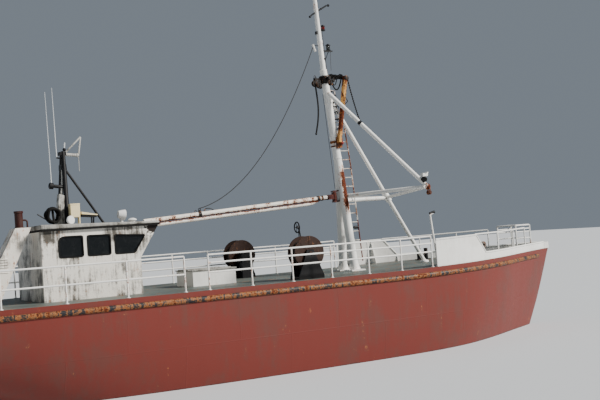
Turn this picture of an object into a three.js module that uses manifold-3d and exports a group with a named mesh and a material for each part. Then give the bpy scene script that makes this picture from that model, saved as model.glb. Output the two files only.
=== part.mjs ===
// A fishing trawler 22.4 m long, with its wheelhouse aft and a mast of two legs forward of the hatch.
// Millimetres. +X is towards the bow, +Y to port, +Z up, and z = 0 is the waterline.
import * as THREE from 'three';
import { mergeVertices } from 'three/addons/utils/BufferGeometryUtils.js';
import Module from 'manifold-3d';

const wasm = await Module();
wasm.setup();

// Driving dimensions
const STEM_X = 11200;
const TRANSOM_X = -11200;
const KEEL_Z = -2600;
const DECK_Z = 2600;
const SHEER_START_X = 2800;
const SHEER_RISE = 140;
const SEAT_GAP = 0.3;
const MAST_X = 2350;
const MAST_JOIN = [2240, 0, 6140];
const POLE_FOOT = [1915, 0, 9250];
const MAST_TOP = [1755, 0, 12100];
const SHAFT_Z = -1550;
const RUDDER_X = -9600;

const part = new THREE.Group();

// Shapes: each helper returns a closed geometry with shared vertices

function closed(geometry) {
  const bare = geometry.clone();
  bare.deleteAttribute('normal');
  bare.deleteAttribute('uv');
  return mergeVertices(bare, 1e-3);
}

function box(x0, x1, y0, y1, z0, z1) {
  const g = closed(new THREE.BoxGeometry(x1 - x0, y1 - y0, z1 - z0));
  return g.translate((x0 + x1) / 2, (y0 + y1) / 2, (z0 + z1) / 2);
}

// A straight round bar from one point to another, with its radius at each end
function rod(from, to, radius, sides = 8, endRadius = radius) {
  const a = new THREE.Vector3(...from);
  const b = new THREE.Vector3(...to);
  const g = closed(new THREE.CylinderGeometry(endRadius, radius, a.distanceTo(b), sides));
  const turn = new THREE.Quaternion().setFromUnitVectors(
    new THREE.Vector3(0, 1, 0), b.clone().sub(a).normalize());
  return g.applyQuaternion(turn).translate((a.x + b.x) / 2, (a.y + b.y) / 2, (a.z + b.z) / 2);
}

// Round bars end to end along a list of points
function rods(points, radius, sides = 5) {
  return points.slice(1).map((p, i) => rod(points[i], p, radius, sides));
}

function ball(centre, radius) {
  return closed(new THREE.SphereGeometry(radius, 8, 6)).translate(...centre);
}

function shapeOf(outline, holes = []) {
  const shape = new THREE.Shape(outline.map(p => new THREE.Vector2(...p)));
  holes.forEach(h => shape.holes.push(new THREE.Path(h.map(p => new THREE.Vector2(...p)))));
  return shape;
}

// A flat plate: an outline of (x, z) points, between two values of y
function plateXZ(outline, y0, y1, holes = []) {
  const g = new THREE.ExtrudeGeometry(shapeOf(outline, holes), { depth: y1 - y0, bevelEnabled: false });
  return closed(g).rotateX(Math.PI / 2).translate(0, y1, 0);
}

// A flat plate: an outline of (y, z) points, between two values of x
function plateYZ(outline, x0, x1, holes = []) {
  const g = new THREE.ExtrudeGeometry(shapeOf(outline, holes), { depth: x1 - x0, bevelEnabled: false });
  return closed(g).rotateX(Math.PI / 2).rotateZ(Math.PI / 2).translate(x0, 0, 0);
}

// A rounded rectangle's outline. Its upper right corner can be shifted and dropped, and its upper
// left corner can have a radius of its own.
function pane(x0, x1, z0, z1, radius, topShift = 0, topDrop = 0, leftRadius = radius) {
  const corners = [[x0, z0], [x1, z0], [x1 + topShift, z1 - topDrop], [x0, z1]];
  const points = [];
  corners.forEach((c, i) => {
    const before = corners[(i + 3) % 4];
    const after = corners[(i + 1) % 4];
    const r = i === 3 ? leftRadius : radius;
    const along = (to) => {
      const d = Math.hypot(to[0] - c[0], to[1] - c[1]);
      return [c[0] + (to[0] - c[0]) * r / d, c[1] + (to[1] - c[1]) * r / d];
    };
    const start = along(before);
    const end = along(after);
    for (const t of [0, 0.5, 1]) {
      points.push([0, 1].map(k =>
        (1 - t) ** 2 * start[k] + 2 * t * (1 - t) * c[k] + t ** 2 * end[k]));
    }
  });
  return points;
}

// A skin through rings of like points, closed at both ends by fans about the rings' middles.
// From a ring's point turnAfter on, the quads are divided along their other diagonal.
function loft(rings, turnAfter = Infinity) {
  const n = rings[0].length;
  const middle = ring => [0, 1, 2].map(k => ring.reduce((s, p) => s + p[k], 0) / n);
  const points = [...rings.flat(), middle(rings[0]), middle(rings[rings.length - 1])];
  const faces = [];
  for (let i = 0; i < rings.length - 1; i++) {
    for (let j = 0; j < n; j++) {
      const a = i * n + j;
      const b = i * n + (j + 1) % n;
      if (j < turnAfter) faces.push(a, b, b + n, a, b + n, a + n);
      else faces.push(a, b, a + n, b, b + n, a + n);
    }
  }
  const last = (rings.length - 1) * n;
  for (let j = 0; j < n; j++) {
    faces.push(j, rings.length * n, (j + 1) % n);
    faces.push(last + j, last + (j + 1) % n, rings.length * n + 1);
  }
  const g = new THREE.BufferGeometry();
  g.setAttribute('position', new THREE.Float32BufferAttribute(points.flat(), 3));
  g.setIndex(faces);
  return facingOut(mergeVertices(g, 1e-3));
}

function facingOut(geometry) {
  const p = geometry.attributes.position;
  const index = geometry.index.array;
  const [a, b, c] = [new THREE.Vector3(), new THREE.Vector3(), new THREE.Vector3()];
  let volume = 0;
  for (let i = 0; i < index.length; i += 3) {
    a.fromBufferAttribute(p, index[i]);
    b.fromBufferAttribute(p, index[i + 1]);
    c.fromBufferAttribute(p, index[i + 2]);
    volume += a.dot(b.cross(c));
  }
  if (volume < 0) {
    for (let i = 0; i < index.length; i += 3) {
      [index[i + 1], index[i + 2]] = [index[i + 2], index[i + 1]];
    }
  }
  return geometry;
}

function mirrored(geometry) {
  return facingOut(geometry.clone().scale(1, -1, 1));
}

// Joining and cutting

function toSolid(geometry) {
  return new wasm.Manifold(new wasm.Mesh({
    numProp: 3,
    vertProperties: new Float32Array(geometry.attributes.position.array),
    triVerts: new Uint32Array(geometry.index.array),
  }));
}

function toGeometry(solid) {
  const m = solid.getMesh();
  const g = new THREE.BufferGeometry();
  g.setAttribute('position', new THREE.Float32BufferAttribute(m.vertProperties, 3));
  g.setIndex([...m.triVerts]);
  return g;
}

function welded(pieces) {
  return toGeometry(pieces.map(toSolid).reduce((sum, s) => sum.add(s)));
}

function cut(piece, cutters) {
  return toGeometry(cutters.map(toSolid).reduce((left, s) => left.subtract(s), toSolid(piece)));
}

function add(name, geometry, colour, roughness = 0.6, metalness = 0) {
  const drawn = geometry.toNonIndexed();
  drawn.computeVertexNormals();
  const material = new THREE.MeshStandardMaterial({ color: colour, roughness, metalness });
  const mesh = new THREE.Mesh(drawn, material);
  mesh.name = name;
  part.add(mesh);
}

// Paint and metal
const WHITE = 0xd9d6cc;
const GREY = 0xa3a196;
const OXIDE_RED = 0x5e1a14;
const RUST = 0x7a4226;
const BLACK = 0x1b1b1c;
const STEEL = 0x6f6a62;
const BRONZE = 0x8d6b35;

// Hull: sections across the ship are superellipses, from the keel line up to the deck edge

// The deck is level aft of SHEER_START_X and rises straight from there to the stem
function deckZ(x) {
  return DECK_Z + SHEER_RISE * Math.max(0, (x - SHEER_START_X) / (STEM_X - SHEER_START_X));
}

// Height of a level foot on the deck, which reaches half its width further up the slope
const onDeck = (x, half = 0) => deckZ(x + half) + SEAT_GAP;

// Columns: x, height of the hull's bottom, half beam at the deck, fullness of the section
const HULL_TABLE = [
  [TRANSOM_X, 380, 2560, 2.6],
  [-10300, 120, 2760, 2.5],
  [-9200, -330, 2900, 2.4],
  [-8000, -860, 3000, 2.4],
  [-6200, -1450, 3070, 2.5],
  [-3200, -1880, 3100, 2.8],
  [0, -2000, 3100, 3.0],
  [3000, -2000, 3070, 2.8],
  [5200, -1960, 2850, 2.2],
  [7200, -1800, 2130, 1.7],
  [8800, -1350, 1270, 1.4],
  [9700, -560, 790, 1.25],
  [10400, 700, 440, 1.18],
  [10900, 1850, 200, 1.12],
  [STEM_X, 2620, 60, 1.1],
];

// A table column's value at x, on a smooth curve through the rows
function fromTable(table, column, x) {
  let i = 0;
  while (i < table.length - 2 && table[i + 1][0] < x) i++;
  const row = k => table[Math.min(Math.max(k, 0), table.length - 1)];
  const slope = k => (row(k + 1)[column] - row(k - 1)[column]) / (row(k + 1)[0] - row(k - 1)[0]);
  const span = row(i + 1)[0] - row(i)[0];
  const t = (x - row(i)[0]) / span;
  const [p0, p1, m0, m1] = [row(i)[column], row(i + 1)[column], slope(i) * span, slope(i + 1) * span];
  return (2 * t ** 3 - 3 * t ** 2 + 1) * p0 + (t ** 3 - 2 * t ** 2 + t) * m0
    + (3 * t ** 2 - 2 * t ** 3) * p1 + (t ** 3 - t ** 2) * m1;
}

const bottomZ = x => fromTable(HULL_TABLE, 1, x);
const halfBeam = x => fromTable(HULL_TABLE, 2, x);

function hullRing(x) {
  const steps = 8;
  const power = 2 / fromTable(HULL_TABLE, 3, x);
  const depth = deckZ(x) - bottomZ(x);
  const ring = [];
  for (let k = -steps; k <= steps; k++) {
    const a = Math.abs(k) / steps * Math.PI / 2;
    const out = Math.sign(k) * Math.sin(a) ** power;
    const down = Math.abs(k) < steps ? Math.cos(a) ** power : 0;
    ring.push([x, halfBeam(x) * out, deckZ(x) - depth * down]);
  }
  return ring;
}

// Stations stand closer towards both ends, where the plan and the bottom curve most
const STATIONS = [];
for (let x = TRANSOM_X; x < 5600; x += x < -7000 ? 700 : 1400) STATIONS.push(x);
for (let x = 5600; x < STEM_X; x += 560) STATIONS.push(x);
STATIONS.push(STEM_X);

// Half the hull's breadth at a height, for pieces that lie against the plating
function breadthAt(x, z) {
  const fullness = fromTable(HULL_TABLE, 3, x);
  const up = (z - bottomZ(x)) / (deckZ(x) - bottomZ(x));
  return halfBeam(x) * (1 - (1 - up) ** fullness) ** (1 / fullness);
}

const KEEL_HALF = 130;
const POST_X = -8400;
const SHOE_TOP_Z = -2440;
const KEEL_OUTLINE = [
  [RUDDER_X - 230, KEEL_Z], [7400, KEEL_Z], [8350, -2250], [9050, -1500],
  [9000, -900], [8300, -1500], [7000, -1600], [0, -1800], [-6000, -1200],
  [POST_X, -350], [POST_X, SHOE_TOP_Z], [RUDDER_X - 230, SHOE_TOP_Z],
];

// Rubbing strake along the side, a little below the deck
function strake() {
  const below = 220;
  const half = 75;
  const rings = [];
  for (let x = TRANSOM_X + 60; x <= 10300; x += x < 5600 ? 1400 : 620) {
    const h = deckZ(x) - below;
    const y = breadthAt(x, h);
    rings.push([[x, y - 120, h - half], [x, y + 70, h - half * 0.6], [x, y + 70, h + half * 0.6],
      [x, y - 120, h + half]]);
  }
  return loft(rings);
}

const SHAFT_R = 60;
const STOCK_R = 60;
const PINTLE_R = 45;
const hullShell = welded([
  loft(STATIONS.map(hullRing)),
  plateXZ(KEEL_OUTLINE, -KEEL_HALF, KEEL_HALF),
  rod([-7000, 0, SHAFT_Z], [POST_X - 30, 0, SHAFT_Z], 200, 12, 170),
  strake(), mirrored(strake()),
]);
add('hull', cut(hullShell, [
  rod([POST_X - 60, 0, SHAFT_Z], [POST_X + 320, 0, SHAFT_Z], SHAFT_R + 6, 12),
  rod([RUDDER_X, 0, -900], [RUDDER_X, 0, 300], STOCK_R + 8, 12),
  rod([RUDDER_X, 0, SHOE_TOP_Z - 100], [RUDDER_X, 0, SHOE_TOP_Z + 50], PINTLE_R + 8, 12),
]), OXIDE_RED);

// Propeller: four blades twisted along a screw, on a hub with its length of shaft

function blade(turn) {
  const tip = 780;
  const root = 120;
  const pitch = 1150;
  const rings = [];
  for (let i = 0; i <= 6; i++) {
    const t = i / 6;
    const r = root + (tip - root) * t;
    const chord = 300 + 260 * Math.sin(Math.PI * Math.min(t * 0.62 + 0.1, 1)) - 420 * t ** 5;
    const thick = 46 - 36 * t;
    const lean = Math.atan(pitch / (2 * Math.PI * r));
    const ring = [];
    for (const [u, v] of [[-0.5, 0], [-0.2, 0.5], [0.2, 0.5], [0.5, 0], [0.2, -0.5], [-0.2, -0.5]]) {
      const along = u * chord;
      const across = v * thick;
      const x = along * Math.sin(lean) + across * Math.cos(lean);
      const arc = along * Math.cos(lean) - across * Math.sin(lean);
      ring.push([x, r * Math.sin(arc / r * 0.9 + turn), r * Math.cos(arc / r * 0.9 + turn)]);
    }
    rings.push(ring);
  }
  return loft(rings, 3);
}

const PROPELLER_X = -8680;
const blades = [0, 1, 2, 3].map(i => blade(i * Math.PI / 2).translate(PROPELLER_X, 0, SHAFT_Z));
add('propeller', welded([
  rod([POST_X - 60, 0, SHAFT_Z], [-8900, 0, SHAFT_Z], 150, 12, 130),
  rod([POST_X - 30 - SEAT_GAP, 0, SHAFT_Z], [POST_X - 70, 0, SHAFT_Z], 100, 12),
  rod([-8890, 0, SHAFT_Z], [-9050, 0, SHAFT_Z], 120, 12, 40),
  rod([POST_X + 290, 0, SHAFT_Z], [-8500, 0, SHAFT_Z], SHAFT_R, 12),
  ...blades,
]), BRONZE, 0.4, 0.8);

// Rudder: a plate with a rounded nose on its stock, its pintle in the heel shoe
const RUDDER_TOP_Z = -640;
const RUDDER_BOTTOM_Z = -2405;
const rudderSection = [[-340, 0], [-300, 50], [-100, 85], [200, 70], [750, 12], [750, -12], [200, -70],
  [-100, -85], [-300, -50]];
const rudderRing = z => rudderSection.map(([along, across]) => [RUDDER_X - along, across, z]);
add('rudder', welded([
  loft([rudderRing(RUDDER_BOTTOM_Z), rudderRing(RUDDER_TOP_Z)]),
  rod([RUDDER_X, 0, RUDDER_TOP_Z - 200], [RUDDER_X, 0, 240], STOCK_R, 12),
  rod([RUDDER_X, 0, RUDDER_BOTTOM_Z + 60], [RUDDER_X, 0, SHOE_TOP_Z - 80], PINTLE_R, 12),
  rod([RUDDER_X, 0, RUDDER_BOTTOM_Z + 20], [RUDDER_X, 0, SHOE_TOP_Z + SEAT_GAP], 80, 12),
]), OXIDE_RED);

// Bow bulwark: plating above the deck edge, high beside the mast's forward leg, low to the stem

const BULWARK_START_X = 3750;
const BULWARK_STEP_X = 5600;
const BULWARK_HIGH_Z = 3460;
const BULWARK_MIDDLE = 42;
const bulwarkTop = x => {
  const low = deckZ(x) + 240;
  const high = BULWARK_HIGH_Z + (x - BULWARK_START_X) * 0.02;
  const t = Math.min(Math.max((x - BULWARK_STEP_X) / 500, 0), 1);
  return high + (low - high) * t;
};

// Points of the deck edge in plan, moved inwards, from starboard round the stem to port
function deckEdge(startX, endX, inset, step) {
  const side = [];
  const count = Math.ceil((endX - startX) / step);
  for (let i = 0; i <= count; i++) {
    const x = startX + (endX - startX) * i / count;
    side.push(x);
  }
  return side.map(x => {
    const slope = (halfBeam(x + 10) - halfBeam(x - 10)) / 20;
    const length = Math.hypot(1, slope);
    return [x + inset * slope / length, -(halfBeam(x) - inset / length)];
  });
}

function bulwark() {
  const edge = inset => deckEdge(BULWARK_START_X, 10900, inset, 520);
  const outer = edge(BULWARK_MIDDLE - 30);
  const inner = edge(BULWARK_MIDDLE + 30);
  const ring = ([ox, oy], [ix, iy]) => {
    const foot = deckZ(ox) + SEAT_GAP;
    return [[ox, oy, foot], [ox, oy, bulwarkTop(ox)], [ix, iy, bulwarkTop(ox)], [ix, iy, foot]];
  };
  const starboard = outer.map((p, i) => ring(p, inner[i]));
  const tip = ring([11130, 0], [10860, 0]);
  const port = starboard.map(r => r.map(([x, y, z]) => [x, -y, z])).reverse();
  return loft([...starboard, tip, ...port]);
}

add('bow_bulwark', bulwark(), WHITE);

// Rails: posts and two or more bars along a list of feet

function railing(feet, heights, radius, postTop = Math.max(...heights)) {
  const bars = [];
  heights.forEach(h => {
    for (let i = 1; i < feet.length; i++) {
      const at = ([x, y, z]) => [x, y, z + h];
      bars.push(rod(at(feet[i - 1]), at(feet[i]), radius, 6));
    }
  });
  feet.forEach(([x, y, z]) => bars.push(rod([x, y, z], [x, y, z + postTop + radius * 0.5], radius, 6)));
  return welded(bars);
}

const RAIL_R = 24;
const RAIL_INSET = 110;
const railFeet = xs => xs.map(x => [x, -(halfBeam(x) - RAIL_INSET), onDeck(x, RAIL_R)]);
const SIDE_RAIL = railFeet([-4000, -2700, -1400, -100, 1200, 2400, 3600]);
const sideRail = railing(SIDE_RAIL, [480, 740, 960], RAIL_R);
add('side_rail_starboard', sideRail, WHITE);
add('side_rail_port', mirrored(sideRail), WHITE);

const quarterRail = railing(railFeet([-4700, -6300, -7900, -9500, -11050]), [480, 960], RAIL_R);
add('quarter_rail_starboard', quarterRail, WHITE);
add('quarter_rail_port', mirrored(quarterRail), WHITE);
const sternFeet = [-2400, -800, 800, 2400].map(y => [-11050, y, onDeck(-11050)]);
add('stern_rail', railing(sternFeet, [480, 960], RAIL_R), WHITE);

// Pulpit: a small square of rails behind the stem, open aft below its top bar, on four posts
const PULPIT = { aft: 9280, fore: 9950, half: 500, top: 3670, bars: [3200, 3430, 3540], radius: 28 };
function pulpit() {
  const corners = [[PULPIT.aft, -PULPIT.half], [PULPIT.fore, -PULPIT.half],
    [PULPIT.fore, PULPIT.half], [PULPIT.aft, PULPIT.half]];
  const level = (z, points) => rods(points.map(([x, y]) => [x, y, z]), PULPIT.radius, 6);
  return welded([
    ...level(PULPIT.top, [...corners, corners[0]]),
    ...PULPIT.bars.flatMap(z => level(z, corners)),
    ...corners.map(([x, y]) => rod([x, y, onDeck(x, PULPIT.radius)],
      [x, y, PULPIT.top + PULPIT.radius / 2], PULPIT.radius, 6)),
  ]);
}
add('pulpit', pulpit(), WHITE);

// Bow rails run on from the high plates to the pulpit, on posts that stand on the bulwark
const onBulwark = xs => xs.map(x => {
  const [px, py] = deckEdge(x, x + 1, BULWARK_MIDDLE, 1)[0];
  return [px, py, bulwarkTop(px + 30) + SEAT_GAP];
});
const BOW_RAIL = onBulwark([5650, 6950, 8200, 9250]);
function bowRail() {
  const top = BOW_RAIL.map(([x, y]) => [x, y, 3500 + (x - 5650) * 0.02]);
  const posts = BOW_RAIL.slice(1).map(([x, y, z], i) => rod([x, y, z], top[i + 1], RAIL_R, 6));
  return welded([...rods([[5560, top[0][1] - 4, 3520 + RAIL_R], ...top.slice(1)], RAIL_R), ...posts]);
}
add('bow_rail_starboard', bowRail(), WHITE);
add('bow_rail_port', mirrored(bowRail()), WHITE);

// Deck lamp post at the forward end of the starboard rail
const LAMP_POST = { x: 3930, y: -2780, top: [3760, -2780, 4290] };
add('lamp_post', welded([
  rod([LAMP_POST.x, LAMP_POST.y, onDeck(LAMP_POST.x, 70)],
    [LAMP_POST.x, LAMP_POST.y, onDeck(LAMP_POST.x, 70) + 20], 70, 10),
  rod([LAMP_POST.x, LAMP_POST.y, onDeck(LAMP_POST.x, 70) + 8], LAMP_POST.top, 32, 8),
  rod([3745, LAMP_POST.y, 4270], [3950, LAMP_POST.y, 4315], 34, 8, 46),
]), WHITE);

// Mast: two legs, a thick lower tube and a thinner pole, all welded

const LEG_SPREAD = 360;

// The middle of the lower tube at a height, and of the pole above it, which rakes less
function mastAt(z) {
  const [from, to] = z < POLE_FOOT[2] ? [MAST_JOIN, POLE_FOOT] : [POLE_FOOT, MAST_TOP];
  return [from[0] + (to[0] - from[0]) * (z - from[2]) / (to[2] - from[2]), 0, z];
}

function mastBars(grow) {
  const [jx, , jz] = MAST_JOIN;
  return [
    rod([MAST_X, -LEG_SPREAD, DECK_Z + 25], [jx, 0, jz + 60], 140 + grow, 12),
    rod([MAST_X, LEG_SPREAD, DECK_Z + 25], [jx, 0, jz + 60], 140 + grow, 12),
    rod(mastAt(jz - 120), POLE_FOOT, 138 + grow, 12, 120 + grow),
    rod(mastAt(POLE_FOOT[2] - 50), MAST_TOP, 92 + grow, 10, 62 + grow),
  ];
}
add('mast', welded([
  ...mastBars(0),
  box(MAST_X - 260, MAST_X + 260, -620, -130, DECK_Z + SEAT_GAP, DECK_Z + 40),
  box(MAST_X - 260, MAST_X + 260, 130, 620, DECK_Z + SEAT_GAP, DECK_Z + 40),
]), WHITE);
const mastCutter = mastBars(SEAT_GAP);

// Ladder: rungs out from the mast's forward side to one long rail
function ladder() {
  const foot = 2900;
  const top = 7350;
  const reach = z => 470 - 100 * Math.max(0, (MAST_JOIN[2] - z) / (MAST_JOIN[2] - foot));
  const legAt = z => {
    const t = (MAST_JOIN[2] - z) / (MAST_JOIN[2] - DECK_Z);
    return z < MAST_JOIN[2] ? [MAST_JOIN[0] + (MAST_X - MAST_JOIN[0]) * t, -360 * t, z] : mastAt(z);
  };
  const rail = [foot, MAST_JOIN[2], top].map(z => {
    const [x, y] = legAt(z);
    return [x + reach(z), y, z];
  });
  const rungs = [];
  for (let z = 3000; z < top; z += 300) {
    const [x, y] = legAt(z);
    rungs.push(rod([x + 60, y, z], [x + reach(z), y, z], 14, 4));
  }
  return cut(welded([...rods(rail, 20), ...rungs]), mastCutter);
}
add('mast_ladder', ladder(), WHITE);

// Forward leg with its collar and the strut back to the mast
const COLLAR = [4080, 0, 4990];
const LEG_FOOT = [5460, 0, onDeck(5460, 150)];
function forwardLegBars(grow) {
  const top = [2120, 0, 8300];
  const along = (f) => top.map((v, k) => v + (COLLAR[k] - v) * f);
  return [
    rod(top, COLLAR, 64 + grow, 10),
    rod(COLLAR, [LEG_FOOT[0], 0, LEG_FOOT[2] + 40], 64 + grow, 10),
    rod(along(0.93), along(1.1), 105 + grow, 10),
    rod([MAST_JOIN[0] + 60, 0, 4940], [COLLAR[0], 0, 4950], 68 + grow, 10),
  ];
}
add('mast_forward_leg', cut(welded([
  ...forwardLegBars(0),
  rod(LEG_FOOT, [LEG_FOOT[0], 0, LEG_FOOT[2] + 60], 150, 12),
]), mastCutter), WHITE);
const legCutter = forwardLegBars(SEAT_GAP);

// Outriggers: a strut from the masthead and two struts from below meet at the tip
function outrigger(side) {
  const tip = [3905, side * 2570, 5150];
  return cut(welded([
    rod([1990, side * 90, 8530], tip, 66, 10),
    rod([2290, side * 60, 5080], tip, 62, 10),
    rod([4060, side * 40, 4960], tip, 52, 10),
    ball(tip, 120),
  ]), [...mastCutter, ...legCutter]);
}
add('outrigger_starboard', outrigger(-1), WHITE);
add('outrigger_port', outrigger(1), WHITE);

// Masthead: a band with arms fore and aft, and a thick brace that passes the forward leg's side
const BRACE_Y = -150;
const BRACE_R = 80;
function masthead() {
  const [x, , z] = mastAt(8980);
  const arch = [[60, -40], [230, 60], [690, 70], [780, 10], [780, 100], [670, 160], [220, 150], [60, 60]];
  return cut(welded([
    rod(mastAt(8865), mastAt(9125), 182, 14),
    plateXZ(arch.map(([u, v]) => [x + u, z + v]), -36, 38),
    box(x - 420, x - 60, -33, 33, z - 28, z + 56),
    box(x - 42, x + 42, -340, 340, z - 33, z + 62),
    box(x + 665, x + 762, BRACE_Y, 20, z + 24, z + 90),
    rod([x + 717, BRACE_Y, z + 110], [2200, -217, 6870], BRACE_R, 10),
    box(2165, 2235, -230, -90, 6900, 6950),
  ]), mastCutter);
}
add('masthead', masthead(), RUST);

// Gooseneck: lugs welded to the mast hold the swivel's pin
const SLEW = new THREE.Vector3(1990, 0, 5090);
const TOPPING_EYE = new THREE.Vector3(1600, 0, 10100);
const SLEW_LEAN = Math.atan2(TOPPING_EYE.x - SLEW.x, TOPPING_EYE.z - SLEW.z);
const placed = g => g.rotateY(SLEW_LEAN).translate(SLEW.x, SLEW.y, SLEW.z);
const PIN_R = 36;
add('gooseneck_bracket', cut(welded([
  placed(box(-70, 300, -80, 80, 150, 190)),
  placed(box(-70, 300, -80, 80, -190, -150)),
  placed(rod([0, 0, -200], [0, 0, 200], PIN_R, 12)),
]), mastCutter), RUST);

// The swivel's sleeve stands on the lower lug, and its two cheeks hold the boom's heel
const HEEL_X = -190;
const HEEL_PIN_R = 30;
const CHEEK = 45;
add('gooseneck_swivel', welded([
  placed(cut(rod([0, 0, -150 + SEAT_GAP], [0, 0, 140], 85, 12),
    [rod([0, 0, -160], [0, 0, 150], PIN_R + 5, 12)])),
  placed(box(HEEL_X - 70, -62, CHEEK, CHEEK + 30, -80, 80)),
  placed(box(HEEL_X - 70, -62, -CHEEK - 30, -CHEEK, -80, 80)),
  placed(rod([HEEL_X, -90, 0], [HEEL_X, 90, 0], HEEL_PIN_R, 12)),
]), RUST);

// Boom: a thick upper tube with a thinner one welded under it
const HEEL = placed(new THREE.BufferGeometry().setFromPoints([new THREE.Vector3(HEEL_X, 0, 0)]))
  .attributes.position.array;
const BOOM_END_X = -4690;
const BOOM_R = 72;
const BOOM_DROP = Math.tan(3.9 * Math.PI / 180);
const LOWER_TUBE = 140;
const boomZ = x => HEEL[2] - (HEEL[0] - x) * BOOM_DROP;
const boomAt = (x, below = 0) => [x, 0, boomZ(x) - below];
add('boom', cut(welded([
  rod(boomAt(HEEL[0] - 130), boomAt(BOOM_END_X), BOOM_R, 12),
  rod(boomAt(1120, LOWER_TUBE), boomAt(-4420, LOWER_TUBE), 54, 10),
  rod(boomAt(1380, 30), boomAt(1100, LOWER_TUBE), 40, 10),
  ...[900, -700, -2300, -4000].map(x =>
    box(x - 60, x + 60, -14, 14, boomZ(x) - LOWER_TUBE, boomZ(x) - 30)),
  plateXZ([[HEEL[0] - 220, HEEL[2] - 60], [HEEL[0] + 20, HEEL[2] - 60], [HEEL[0] + 60, HEEL[2]],
    [HEEL[0] + 20, HEEL[2] + 60], [HEEL[0] - 220, HEEL[2] + 50]], -36, 36),
  rod([HEEL[0], -CHEEK + SEAT_GAP, HEEL[2]], [HEEL[0], CHEEK - SEAT_GAP, HEEL[2]], 56, 12),
  rod([-2870, 0, boomZ(-2870) - 85], [-2870, 0, boomZ(-2870) + 110], 40, 8),
]), [rod([HEEL[0], -100, HEEL[2]], [HEEL[0], 100, HEEL[2]], HEEL_PIN_R + 5, 12)]), WHITE);

// Trawl winches: one on each side of the deck, a flanged drum between two stands
const WINCH_X = -540;
const WINCH_Y = -2300;
const DRUM_Z = 3370;
const DRUM_R = 500;
const AXLE_R = 50;
const STAND = 260;
const STAND_TOP = DRUM_Z + 90;
function winchStand(y) {
  const outline = [[-420, DECK_Z + SEAT_GAP], [420, DECK_Z + SEAT_GAP], [420, DECK_Z + 90], [110, STAND_TOP],
    [-110, STAND_TOP], [-420, DECK_Z + 90]];
  return plateXZ(outline.map(([x, z]) => [x + WINCH_X, z]), y - 25, y + 25);
}
const winchFrame = cut(welded([
  winchStand(WINCH_Y - STAND), winchStand(WINCH_Y + STAND),
  box(WINCH_X - 420, WINCH_X - 340, WINCH_Y - STAND, WINCH_Y + STAND, DECK_Z + SEAT_GAP, DECK_Z + 90),
  box(WINCH_X + 340, WINCH_X + 420, WINCH_Y - STAND, WINCH_Y + STAND, DECK_Z + SEAT_GAP, DECK_Z + 90),
  box(WINCH_X - 200, WINCH_X + 200, WINCH_Y + STAND + 10, WINCH_Y + 600, DECK_Z + SEAT_GAP, STAND_TOP),
]), [rod([WINCH_X, WINCH_Y - 320, DRUM_Z], [WINCH_X, WINCH_Y + 340, DRUM_Z], AXLE_R + 6, 12)]);
const acrossDrum = (from, to, radius, sides) =>
  rod([WINCH_X, WINCH_Y + from, DRUM_Z], [WINCH_X, WINCH_Y + to, DRUM_Z], radius, sides);
const winchDrum = welded([
  acrossDrum(-300, 300, AXLE_R, 12),
  acrossDrum(-STAND + 25 + SEAT_GAP, STAND - 25 - SEAT_GAP, 85, 12),
  acrossDrum(-220, -190, DRUM_R, 20),
  acrossDrum(190, 220, DRUM_R, 20),
  acrossDrum(-200, 200, 360, 20),
]);
add('winch_frame_starboard', winchFrame, BLACK);
add('winch_frame_port', mirrored(winchFrame), BLACK);
add('winch_drum_starboard', winchDrum, RUST);
add('winch_drum_port', mirrored(winchDrum), RUST);

// Brake handwheel of the starboard winch, on two raked stems that stand on the inner stand
function handwheel() {
  const [x, y, z] = [WINCH_X - 96, WINCH_Y + STAND, DRUM_Z + 770];
  const foot = STAND_TOP + SEAT_GAP;
  return welded([
    closed(new THREE.TorusGeometry(155, 20, 5, 16)).rotateY(Math.PI / 2).translate(x, y, z),
    rod([x, y - 155, z], [x, y + 155, z], 10, 4),
    rod([x, y, z - 155], [x, y, z + 155], 10, 4),
    rod([x - 25, y, z], [x + 80, y, z], 26, 6),
    rod([x + 65, y, z + 4], [WINCH_X + 60, y, foot + 12], 18, 6),
    rod([x + 60, y, z - 6], [WINCH_X - 60, y, foot + 12], 14, 6),
    box(WINCH_X - 90, WINCH_X + 90, y - 24, y + 24, foot, foot + 20),
  ]);
}
add('winch_brake_starboard', handwheel(), BLACK);

// Fish hatch: a coaming with a hinged lid
const HATCH = { x0: -3500, x1: -2100, half: 650, top: DECK_Z + 450, wall: 50 };
add('hatch_coaming', cut(
  box(HATCH.x0, HATCH.x1, -HATCH.half, HATCH.half, DECK_Z + SEAT_GAP, HATCH.top),
  [box(HATCH.x0 + HATCH.wall, HATCH.x1 - HATCH.wall, -HATCH.half + HATCH.wall, HATCH.half - HATCH.wall,
    DECK_Z + 40, HATCH.top + 50)]), WHITE);
add('hatch_lid', welded([
  box(HATCH.x0 - 30, HATCH.x1 + 30, -HATCH.half - 30, HATCH.half + 30,
    HATCH.top + SEAT_GAP, HATCH.top + 60),
  rod([HATCH.x0 - 30, -400, HATCH.top + 40], [HATCH.x0 - 30, 400, HATCH.top + 40], 22, 10),
]), GREY);

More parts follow.
